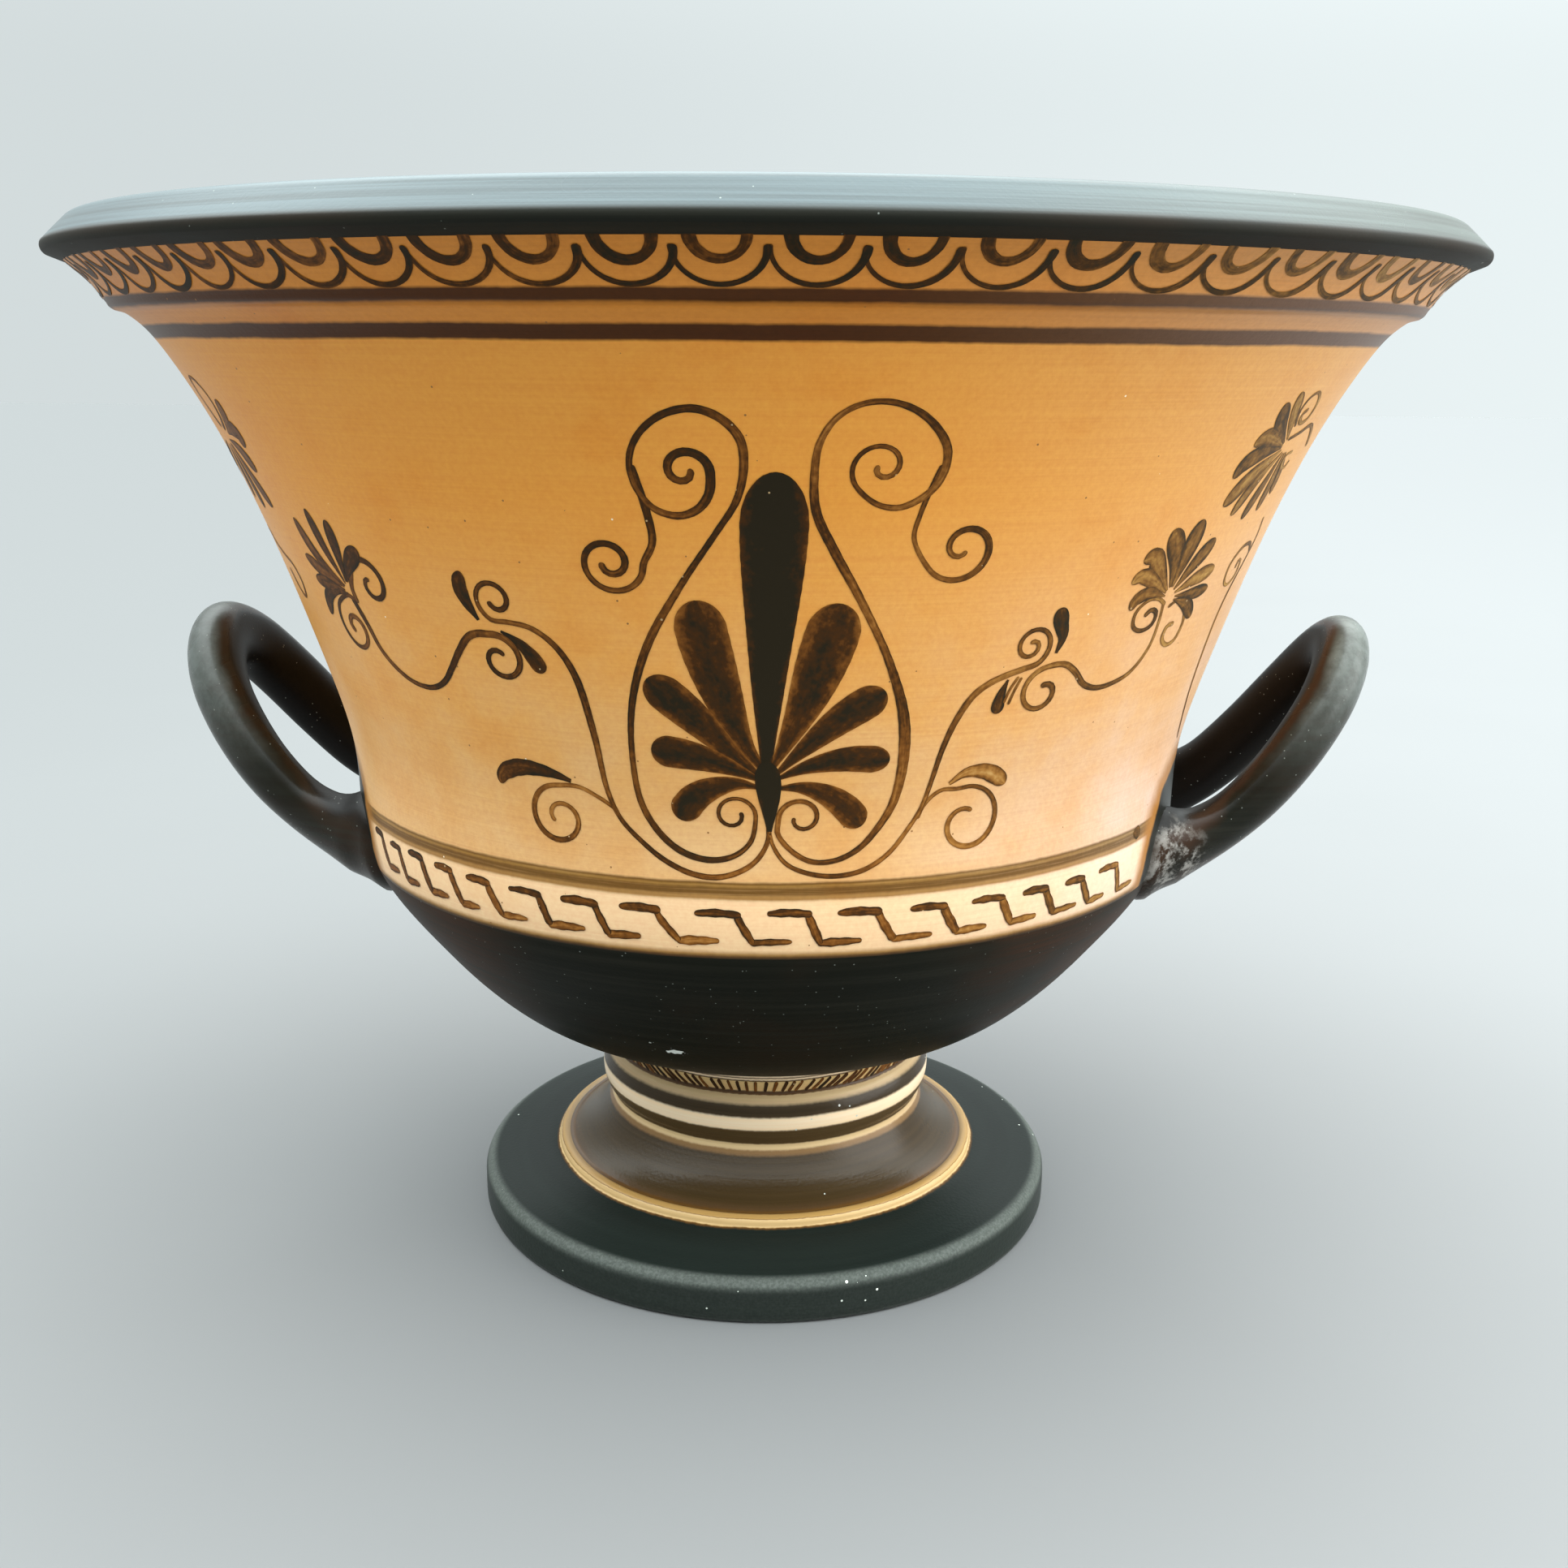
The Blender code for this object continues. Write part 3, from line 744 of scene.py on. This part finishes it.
def hatch_ring(paint):
    """Short strokes around the neck, which lean away from the middle of each face."""
    vary = paint.chance.uniform
    for i in range(HATCHES):
        turn = 360.0 * (i + vary(-0.2, 0.2)) / HATCHES
        lean = 0.2 * ((turn + 90.0) % 180.0 - 90.0) + 0.6
        lean = max(-MOST_LEAN, min(MOST_LEAN, lean))
        path = [(turn + share * lean, height) for share, height in zip((0.5, 0.1, -0.5), HATCH_HEIGHTS)]
        paint.stroke(path, line(0.75 + vary(-0.2, 0.15), 0.6), load=vary(0.45, 0.8))


# ---------------------------------------------------------------- materials

BLACK_SLIP = (0.0065, 0.0070, 0.0042)
MARKED_SLIP = (0.014, 0.0135, 0.009)
# Rust, which at the slip's sides to left and right also stands for a painted sheen
RUST_AND_SHEEN_SLIP = (0.050, 0.020, 0.009)
# The darker slip within a loop is painted shade; the pale film outside is partly a painted highlight
INNER_SHADE_SLIP = (0.0045, 0.0032, 0.0022)
WORN_AND_LIT_SLIP = (0.135, 0.150, 0.138)
SCUFFED_SLIP = (0.36, 0.34, 0.31)
BROWN_EDGE = (0.30, 0.125, 0.025)
# Pale films that are partly a painted highlight of the light overhead
FILM_AND_HIGHLIGHT = (0.073, 0.094, 0.100)
SIDE_FILM_AND_HIGHLIGHT = (0.062, 0.073, 0.063)
# Dust; on the disc's shoulder it also stands for a painted highlight
DUST_AND_HIGHLIGHT = (0.34, 0.37, 0.33)
CREAM = (0.76, 0.49, 0.270)
FLAKED_CLAY = (0.78, 0.80, 0.74)
HOLLOW_CLAY = (0.34, 0.16, 0.062)

# Places on the pot. The scuffed one has a lift, for it lies where an arm leaves the wall
SCUFFED = (66.5, 88.5, 2.0)
FLAKE = (-15.3, 57.4)
FLAKE_LENGTH, FLAKE_RISE = 1.9, 0.75
SLIP_ROOT = (84.0, 24.0, 89.5)     # the middle of the slip around a handle's root
STRIPES = (188.0, 190.2, 192.75, 194.95)


class Value:
    """What one socket of a node tree gives, so that numbers can be added and multiplied."""

    def __init__(self, nodes, socket):
        self.nodes, self.socket = nodes, socket

    def __add__(self, other):
        return self.nodes.maths("ADD", self, other)

    def __sub__(self, other):
        return self.nodes.maths("SUBTRACT", self, other)

    def __rsub__(self, other):
        return self.nodes.maths("SUBTRACT", other, self)

    def __mul__(self, other):
        return self.nodes.maths("MULTIPLY", self, other)

    def __truediv__(self, other):
        return self.nodes.maths("DIVIDE", self, other)

    def __pow__(self, other):
        return self.nodes.maths("POWER", self, other)


class Nodes:
    """A node tree that starts from where each point lies."""

    def __init__(self, tree, coordinates):
        self.tree = tree
        self.place = self.add("TexCoord", {}, coordinates)
        self.axes = [Value(self, axis) for axis in self.node("SeparateXYZ", {0: self.place}).outputs]

    def put(self, socket, value):
        """Gives a socket a value to follow or to keep. A colour to keep is told without its alpha."""
        if isinstance(value, Value):
            self.tree.links.new(value.socket, socket)
        else:
            socket.default_value = (*value, 1.0) if socket.type == "RGBA" else value

    def node(self, kind, inputs, **settings):
        node = self.tree.nodes.new("ShaderNode" + kind)
        for key, value in settings.items():
            setattr(node, key, value)
        for key, value in inputs.items():
            self.put(node.inputs[key], value)
        return node

    def add(self, kind, inputs, output=0, **settings):
        return Value(self, self.node(kind, inputs, **settings).outputs[output])

    def maths(self, operation, *values):
        return self.add("Math", dict(enumerate(values)), operation=operation)

    def step(self, value, low, high, start=0.0, end=1.0, kind="SMOOTHSTEP"):
        """Goes smoothly from its start at low to its end at high, and stays level outside them."""
        inputs = {"Value": value, "From Min": low, "From Max": high, "To Min": start, "To Max": end}
        return self.add("MapRange", inputs, interpolation_type=kind)


class Finish(Nodes):
    """A material whose colour is covered step by step. Its lengths are in millimetres."""

    def __init__(self, name):
        self.material = bpy.data.materials.new(name)
        self.material.use_nodes = True
        super().__init__(self.material.node_tree, "Object")
        self.across, self.deep, self.height = [axis * (1.0 / MM) for axis in self.axes]
        self.colour = None

    def mix(self, share, a, b, blend_type="MIX"):
        return self.add("Mix", {0: share, 6: a, 7: b}, 2, data_type="RGBA", blend_type=blend_type)

    def cover(self, share, colour, blend_type="MIX"):
        self.colour = self.mix(share, self.colour, colour, blend_type)

    def noise(self, scale, detail=2.0, roughness=0.5, place=None):
        """Cloudy noise about one half. Three scales stretch it along the three axes."""
        if isinstance(scale, tuple):
            place, scale = self.add("Mapping", {"Vector": self.place, "Scale": scale}), 1.0
        inputs = {"Vector": place or self.place, "Scale": scale, "Detail": detail, "Roughness": roughness}
        return self.add("TexNoise", inputs)

    def sway(self, amount, *noise):
        """Noise that swings about zero by half this amount either way."""
        return (self.noise(*noise) - 0.5) * amount

    def attribute(self, key):
        return self.add("Attribute", {}, "Fac", attribute_name=key)

    def away_from(self, point):
        return self.add("VectorMath", {0: self.place, 1: point}, "Value", operation="DISTANCE") / MM

    def ramp(self, share, stops):
        node = self.node("ValToRGB", {0: share})
        elements = node.color_ramp.elements
        while len(elements) < len(stops):
            elements.new(0.5)
        for element, (position, _) in zip(elements, stops):
            element.position = position
        for element, (_, colour) in zip(elements, stops):
            element.color = (*colour, 1.0)
        return Value(self, node.outputs[0])

    def bands(self, value, low, high, stops):
        """A colour ramp over a span of values, with its stops told as values, lowest first."""
        share = self.step(value, low, high, kind="LINEAR")
        return self.ramp(share, [((at - low) / (high - low), colour) for at, colour in stops])

    def specks(self, scale, size, share, seed=0.0):
        """Tiny dots: 1 inside a share of the cells of a Voronoi pattern, 0 outside."""
        place = self.add("VectorMath", {0: self.place, 1: (seed, seed, seed)}, operation="ADD")
        cells = self.node("TexVoronoi", {"Vector": place, "Scale": scale})
        chosen = self.add("SeparateColor", {0: Value(self, cells.outputs["Color"])})
        inside = self.maths("LESS_THAN", Value(self, cells.outputs["Distance"]), chosen * size)
        return inside * self.maths("GREATER_THAN", chosen, 1.0 - share)

    def scuff(self):
        """Wears the slip greyish at the front root of the right handle."""
        away = self.away_from(on_pot(*SCUFFED)) + self.noise(220.0, 3.0) * 6.0
        patches = self.step(self.noise(380.0, 4.0, 0.7), 0.42, 0.62)
        self.cover(self.step(away, 12.5, 8.0) * patches * 0.7, SCUFFED_SLIP)

    def relief(self, height, depth):
        """Bump of a height pattern, whose full depth is in millimetres."""
        normal = self.add("Bump", {"Height": height, "Distance": depth * MM, "Strength": 1.0})
        self.put(self.tree.nodes["Principled BSDF"].inputs["Normal"], normal)

    def finish(self, roughness, specular):
        shader = self.tree.nodes["Principled BSDF"]
        self.put(shader.inputs["Base Color"], self.colour)
        self.put(shader.inputs["Roughness"], roughness)
        self.put(shader.inputs["Specular IOR Level"], specular)
        return self.material


class Slip(Finish):
    """Black slip: satin, a little green, rusty where it is thin, with brush and wheel marks."""

    def __init__(self, name, gloss, specular, speck_share, rust=0.5):
        super().__init__(name)
        self.specular, self.speck_share = specular, speck_share
        self.marks = self.noise((14, 14, 900), 3.0)
        cloud = self.noise(26.0, 3.0, 0.6)
        thin = self.step(cloud, 0.50, 0.78) * (rust * 0.25)
        # Browner towards the sides to left and right: partly rust, partly a painted sheen where the pot
        # turns away
        rust_and_sheen_aside = self.step(self.maths("ABSOLUTE", self.across), 32.0, 56.0) * (rust * 0.9)
        thin = self.maths("MAXIMUM", thin, rust_and_sheen_aside * self.step(cloud, 0.30, 0.60))
        self.colour = self.mix(thin, BLACK_SLIP, RUST_AND_SHEEN_SLIP)
        self.cover(self.step(self.marks, 0.35, 0.8), MARKED_SLIP)
        self.rough = self.step(cloud, 0.3, 0.7, gloss, gloss + 0.10, "LINEAR")

    def dusted(self):
        """The last steps: dust, grain and gloss."""
        specks = self.specks(420.0, 0.11, 0.6 * self.speck_share)
        dust = self.specks(1500.0, 0.20, 2.4 * self.speck_share, 3.7)
        self.cover(specks, (0.50, 0.52, 0.47))
        self.cover(dust * 0.45, DUST_AND_HIGHLIGHT)
        self.relief(self.marks * 0.6 + self.noise(1600.0), 0.02)
        return self.finish(self.rough, self.specular)


def handle_finish():
    """The handles' slip: black, darker within the loop as painted shade, rusty on the ridge beside it,
    pale outside with wear and a painted highlight.
    """
    look = Slip("black_slip_handles", 0.22, 0.13, 0.02, 0.3)
    inner = look.attribute("inner") + look.sway(0.5, 90.0)
    ridge = look.step(inner, -0.60, -0.42) * look.step(inner, -0.10, -0.28)
    right = look.step(look.across, -20.0, 20.0)
    look.cover(ridge * (right * 0.35 + 0.15), RUST_AND_SHEEN_SLIP)
    # Painted shade: within the loop the slip is darker still
    look.cover(look.step(inner, -0.36, -0.16), INNER_SHADE_SLIP)
    # Outside, a pale worn film that is partly a painted highlight of the light overhead; paler on the
    # right handle, where it stops a little higher
    worn_and_lit = look.step(inner, -0.42, -0.75) * look.step(look.height - right * 5.0, 97.0, 127.0)
    grain = look.step(look.noise(240.0, 4.0, 0.7), 0.25, 0.70)
    low_lit_film, high_lit_film = [[share * c for c in WORN_AND_LIT_SLIP] for share in (0.75, 0.55)]
    film_and_highlight = look.mix(look.step(look.height, 116.0, 134.0), low_lit_film, high_lit_film)
    look.cover(worn_and_lit * (grain * 0.5 + 0.5), look.mix(right, film_and_highlight, WORN_AND_LIT_SLIP))
    look.rough += look.step(inner, -0.3, 0.0) * 0.2
    look.scuff()
    return look.dusted()


def lip_finish():
    """The lip's slip, with a pale bluish veil in streaks on its upper face, partly a painted highlight of
    the light overhead.
    """
    look = Slip("black_slip_lip", 0.24, 0.14, 0.004, 0.2)
    streaks = look.noise((8, 8, 1600), 3.0, 0.6)
    # A painted highlight of the light overhead, laid as a pale film in streaks on the upper face; less
    # blue towards the right end
    film_and_highlight = (look.step(streaks, 0.30, 0.65) * 0.45 + 0.55) * look.step(look.height, 204.0, 204.9)
    look.cover(film_and_highlight, look.mix(look.step(look.across, 10.0, 125.0), FILM_AND_HIGHLIGHT, SIDE_FILM_AND_HIGHLIGHT))
    look.rough += look.step(look.height, 204.2, 203.6) * 0.35
    return look.dusted()


def bowl_finish():
    """The bowl's slip, with one small white flake where it has chipped."""
    look = Slip("black_slip_bowl", 0.40, 0.06, 0.016, 0.8)
    spot = on_pot(*FLAKE)
    sideways = Vector((-spot.y, spot.x, 0.0)).normalized() / (FLAKE_LENGTH * MM)
    offset = look.add("VectorMath", {0: look.place, 1: spot}, operation="SUBTRACT")
    along = look.add("VectorMath", {0: offset, 1: sideways}, "Value", operation="DOT_PRODUCT")
    rise = (look.height - FLAKE[1]) / FLAKE_RISE
    away = look.maths("SQRT", along ** 2.0 + rise ** 2.0)
    look.cover(look.maths("LESS_THAN", away + look.sway(2.2, 1100.0), 0.9), FLAKED_CLAY)
    return look.dusted()


def wall_finish():
    """Bare clay with its painted bands, black slip around the roots of the handles, and a painted sheen
    towards the right.
    """
    look = Finish("bare_clay")
    height = look.height + look.sway(0.5, 60.0) + look.sway(0.2, (500, 500, 900))
    clay_low, clay_mid, clay_high = (0.62, 0.345, 0.141), (0.69, 0.330, 0.088), (0.72, 0.290, 0.046)
    # The shaded clay under the collar, and the darker clay at its top, are painted shade under the
    # overhang
    stripe, shaded_clay = (0.058, 0.016, 0.001), (0.59, 0.220, 0.036)
    dark_line, pale_line, sandy = (0.135, 0.060, 0.011), (0.27, 0.135, 0.030), (0.30, 0.150, 0.042)
    soft = 0.12
    # Heights, lowest first, and the colour at each: the band under the key, the double line, stripes
    stops = [(84.4, (0.012, 0.009, 0.005)), (84.9, (0.10, 0.045, 0.012)), (85.4, (0.34, 0.18, 0.055)),
             (86.2, CREAM), (95.5, CREAM), (95.7, sandy), (96.7, sandy), (96.9, dark_line),
             (98.1, dark_line), (98.2, pale_line), (98.4, pale_line), (98.5, dark_line),
             (98.9, dark_line), (99.05, clay_low), (125.0, clay_mid), (165.0, clay_high),
             (STRIPES[0] - soft, clay_high), (STRIPES[0] + soft, stripe),
             (STRIPES[1] - soft, stripe), (STRIPES[1] + soft, shaded_clay),
             (STRIPES[2], shaded_clay), (STRIPES[2] + soft, stripe),
             (STRIPES[3] - soft, stripe), (STRIPES[3] + soft, shaded_clay), (202.0, (0.53, 0.195, 0.030))]
    look.colour = look.bands(height, 84.0, 202.0, stops)
    dry = look.step(look.height, 95.4, 96.4) * look.step(look.height, 99.2, 98.6)
    dry *= look.step(look.noise((45, 45, 2600), 3.0, 0.7), 0.50, 0.68)
    look.cover(dry * 0.2, (0.50, 0.29, 0.11))
    mottle = look.noise(45.0, 4.0, 0.6)
    look.cover(look.step(mottle, 0.48, 0.85), (0.93, 0.80, 0.62), "MULTIPLY")
    low = look.step(look.height, 165.0, 110.0) * look.step(mottle, 0.62, 0.30)
    low *= look.step(look.height, 99.2, 102.0)
    look.cover(low * 0.34, (0.66, 0.44, 0.235))
    # Painted sheen: the clay and its stripes turn paler and bluer towards the right, where the window's
    # light falls
    paler = look.step(look.across, 15.0, 105.0) * (look.step(height, 94.0, 99.0) * 0.6 + 0.4)
    striped = look.step(height, 187.7, 188.1) * look.step(height, 195.2, 194.9)
    look.cover(paler * striped * 0.10, (0.93, 0.50, 0.20))
    look.cover(paler, (0.86, 1.07, 2.1), "MULTIPLY")
    wheel = look.noise((14, 14, 2600), 3.0, 0.6)
    weave = look.noise(1100.0, 2.0, 0.6)
    greys = [(0.34, (0.30, 0.30, 0.30)), (0.66, (0.70, 0.70, 0.70))]
    look.cover(0.22, look.ramp(wheel * 0.45 + weave * 0.55, greys), "OVERLAY")
    look.cover(look.specks(520.0, 0.09, 0.02), (0.85, 0.72, 0.52))
    look.cover(look.specks(700.0, 0.13, 0.03, 5.1), (0.24, 0.11, 0.035))
    reach, across, up = SLIP_ROOT
    away = None
    for side, mirror in (("left", -1), ("right", 1)):
        for spread in (-across * HANDLE_SPREADS[side], across * HANDLE_SPREADS[side]):
            root = look.away_from(Vector((mirror * reach, spread, up)) * MM)
            away = look.maths("MINIMUM", away, root) if away else root
    away += look.noise(160.0, 3.0) * 4.0
    look.cover(look.step(away, 26.0, 20.5), BROWN_EDGE)
    look.cover(look.step(away, 20.0, 18.6), BLACK_SLIP)
    look.scuff()
    look.relief(wheel * 0.8 + weave, 0.03)
    return look.finish(0.38, 0.14)


def foot_finish(name, roughness, specular, hollow=False):
    """Stem and foot: cream rings and brown slip above, a gold ring, and a dusty black disc with a painted
    highlight on its shoulder.

    With the hollow, what lies within it is bare clay.
    """
    look = Finish(name)
    height = look.height + look.sway(0.25, 90.0) + look.sway(0.25, 900.0)
    brown, cream, dull_cream = (0.080, 0.049, 0.020), (0.92, 0.70, 0.46), (0.60, 0.42, 0.22)
    umber, tan, line_brown = (0.042, 0.025, 0.009), (0.66, 0.42, 0.17), (0.060, 0.026, 0.008)
    gold, old_gold, rust = (0.50, 0.33, 0.145), (0.36, 0.21, 0.066), (0.100, 0.045, 0.010)
    disc, ochre = (0.0092, 0.0125, 0.0105), (0.22, 0.12, 0.045)
    soft = 0.15
    # Heights, lowest first, and the colour at each. The gold ring and the neck have ramps of their own
    stops = [(0.0, disc), (11.7, disc), (12.2, rust), (13.6, rust), (14.0, (0.062, 0.034, 0.014)),
             (14.8, umber), (21.9, umber), (22.4, ochre), (23.2 - soft, ochre),
             (23.2 + soft, dull_cream), (24.6 - soft, dull_cream), (24.6 + soft, brown),
             (28.5 - soft, brown), (28.5 + soft, cream), (31.3 - soft, cream), (31.3 + 2 * soft, umber),
             (34.0 - 2 * soft, umber), (34.0 + 2 * soft, dull_cream), (35.6, dull_cream), (35.75, rust),
             (36.2, line_brown), (36.4, line_brown), (36.5, tan), (38.5, tan), (38.55, line_brown),
             (38.7, line_brown), (38.8, cream)]
    upper = [(0.0, cream), (39.1, cream), (39.15, line_brown), (39.35, line_brown), (39.4, cream),
             (39.75, cream), (39.85, line_brown), (40.05, BLACK_SLIP), (42.0, BLACK_SLIP)]
    ring = [(11.7, disc), (11.95, rust), (12.12, gold), (13.42, gold), (13.52, (0.17, 0.085, 0.022)),
            (13.62, old_gold), (14.0, old_gold)]
    radius = look.maths("SQRT", look.across ** 2.0 + look.deep ** 2.0)
    on_ring = look.step(radius, 44.8, 45.0) * look.step(look.height, 11.6, 11.7)
    look.colour = look.bands(height, 0.0, 42.0, stops)
    look.cover(on_ring * look.maths("LESS_THAN", look.height, 14.2), look.bands(height, 11.0, 14.2, ring))
    look.cover(look.step(height, 38.85, 38.9), look.bands(height, 0.0, 42.0, upper))
    if hollow:
        look.cover(look.step(radius, 44.0, 43.2), HOLLOW_CLAY)
    wheel = look.noise((9, 9, 1500), 4.0, 0.65)
    greys = [(0.3, (0.32, 0.32, 0.32)), (0.72, (0.72, 0.72, 0.72))]
    look.cover(0.4, look.ramp(wheel, greys), "OVERLAY")
    # On the disc's rounded shoulder: dust, with a pale film that is partly a painted highlight
    shoulder = look.step(radius, 61.0, 62.8) * look.step(radius, 64.2, 63.4)
    film_and_highlight = look.step(look.noise(1700.0, 3.0, 0.6), 0.30, 0.75) * 0.45 + 0.55
    look.cover(film_and_highlight * (shoulder * 0.25), DUST_AND_HIGHLIGHT)
    look.cover(look.specks(640.0, 0.14, shoulder * 0.10 + 0.012), (0.55, 0.58, 0.52))
    look.cover(look.specks(330.0, 0.10, 0.025, 2.3), (0.70, 0.70, 0.64))
    look.relief(wheel + look.noise(1500.0), 0.035)
    return look.finish(roughness, specular)


def brush_finish():
    """The painters' slip: black where the brush was full, brown where it ran thin, paler towards the right
    as a painted sheen.
    """
    look = Finish("brushed_slip")
    across, along, load, rim = [look.attribute(key) for key in ("across", "along", "load", "rim")]
    hairs = look.add("CombineXYZ", {0: along * 0.22, 1: across * 1.8})
    grain = look.noise(1000.0)
    full = load + rim * look.maths("ABSOLUTE", across) ** 2.2
    full += look.sway(0.75, 1.0, 4.0, 0.6, hairs)
    full += (grain - 0.5) * 0.45
    look.colour = look.ramp(full, [(0.0, (0.46, 0.235, 0.070)), (0.22, (0.32, 0.130, 0.026)),
                                   (0.45, (0.165, 0.056, 0.009)), (0.7, (0.052, 0.019, 0.004)),
                                   (0.95, (0.018, 0.013, 0.006))])
    # Painted sheen: paler and bluer towards the right
    look.cover(look.step(look.across, 15.0, 105.0), (1.1, 1.5, 1.9), "MULTIPLY")
    look.cover(look.specks(800.0, 0.16, 0.03), (0.40, 0.27, 0.14))
    look.relief(grain, 0.015)
    return look.finish(0.44, 0.07)


# ---------------------------------------------------------------- the pot

def painted(name, paint, *ornaments):
    for ornament in ornaments:
        ornament(paint)
    paint.finish(name, brushed)


upper_body, lower_body = split_at(BODY, BLACK_BOWL_TOP)
stem, disc = split_at(stem_profile() + foot_profile()[1:], RING_FOOT)
satin = Slip("black_slip_inside", 0.28, 0.34, 0.01).dusted()
handle_slip = handle_finish()

turned("krater_lip", [INNER_EDGE] + lip_profile() + [COLLAR_TOP], lip_finish())
turned("krater_inside", cavity_profile(BODY), satin)
turned("krater_wall", COLLAR + upper_body[1:], wall_finish())
turned("krater_bowl", lower_body, bowl_finish())
turned("krater_stem", stem, foot_finish("banded_stem", 0.24, 0.19))
turned("krater_foot", disc + hollow_profile(), foot_finish("slipped_disc", 0.34, 0.05, hollow=True))
for side in ("left", "right"):
    handle(side, handle_slip)

brushed = brush_finish()
painted("tongue_frieze", Paint(3), tongue_frieze)
painted("neck_hatching", Paint(5, sway=0.0, edge=0.0), hatch_ring)
for face, turn in FACES.items():
    painted("palmettes_" + face, Paint(11, turn, sway=0.04, edge=0.008), central_palmette, small_palmettes)
    painted("scrolls_" + face, Paint(17, turn, sway=0.16, uneven=0.14), scrolls_and_leaves)
    painted("running_key_" + face, Paint(23, turn, edge=0.09), running_key)


# ---------------------------------------------------------------- the studio

FLOOR_REACH = 5.0


def studio_floor():
    """A wide pale floor just under the foot, a little darker at the left as painted shade."""
    mesh = bpy.data.meshes.new("floor")
    low = cad_low.z - 0.1 * MM
    corners = [(x * FLOOR_REACH, y * FLOOR_REACH, low) for x, y in ((-1, -1), (1, -1), (1, 1), (-1, 1))]
    mesh.from_pydata(corners, [], [(0, 1, 2, 3)])
    look = Finish("pale_floor")
    # Painted shade: darker at the left, lighter towards the window at the right
    painted_light_across = look.step(look.across + look.noise(5.0, 3.0) * 250.0, -400.0, 650.0)
    look.colour = look.mix(painted_light_across, (0.1335, 0.1345, 0.1345), (0.1705, 0.1705, 0.1710))
    mesh.materials.append(look.finish(0.9, 0.0))
    obj = in_scene("floor", mesh)


def softbox(name, place, target, size, radiance, colour):
    """A soft rectangular light of a given brightness, in W per square metre and steradian."""
    data = bpy.data.lights.new(name, "AREA")
    data.shape = "RECTANGLE"
    data.size, data.size_y = size
    data.energy = radiance * math.pi * size[0] * size[1]
    data.color = colour
    obj = in_scene(name, data)
    obj.visible_camera = False
    obj.location = place
    obj.rotation_euler = (Vector(place) - Vector(target)).to_track_quat("Z", "Y").to_euler()


def daylight():
    """A soft room: pale near the horizon, bright overhead, dimmer at the left and behind the viewer."""
    world = bpy.data.worlds.new("daylight")
    world.use_nodes = True
    sky = Nodes(world.node_tree, "Generated")
    across, deep, up = sky.axes
    horizon = sky.step(up, 0.12, 0.42, 0.81, 0.0) * sky.step(across, -0.45, 0.45, 0.88, 1.12)
    middle = sky.step(up, 0.12, 0.42) * sky.step(across, -0.6, 0.7, 0.95, 1.5)
    ceiling = sky.step(up, 0.32, 0.95, 0.0, 7.6)
    behind_viewer = sky.step(deep, -0.85, -0.20, 0.62, 1.0)
    colour, strength = world.node_tree.nodes["Background"].inputs[:2]
    sky.put(colour, (0.915, 1.0, 1.01))
    sky.put(strength, (horizon + middle + ceiling) * behind_viewer)
    bpy.context.scene.world = world


def photo_camera():
    """The viewpoint: a little to the left of the handles' square view, just below the lip."""
    distance, stand, turn = 361.6, 187.0, math.radians(4.6)
    pitch, yaw, roll = math.radians(14.424), math.radians(0.599), math.radians(0.433)
    data = bpy.data.cameras.new("camera")
    data.lens, data.sensor_width = 38.88, 36.0
    obj = in_scene("camera", data)
    obj.matrix_world = (Matrix.Rotation(turn, 4, "Z")
                        @ Matrix.Translation(Vector((0.0, -distance, stand)) * MM)
                        @ Matrix.Rotation(-yaw, 4, "Z")
                        @ Matrix.Rotation(math.pi / 2 - pitch, 4, "X")
                        @ Matrix.Rotation(roll, 4, "Z"))
    bpy.context.scene.camera = obj


studio_floor()
softbox("window", (1.70, -0.25, 0.55), (0.0, 0.0, 0.12), (1.7, 1.1), 4.3, (1.0, 1.0, 0.98))
daylight()
photo_camera()
bpy.context.scene.view_settings.view_transform = "Standard"
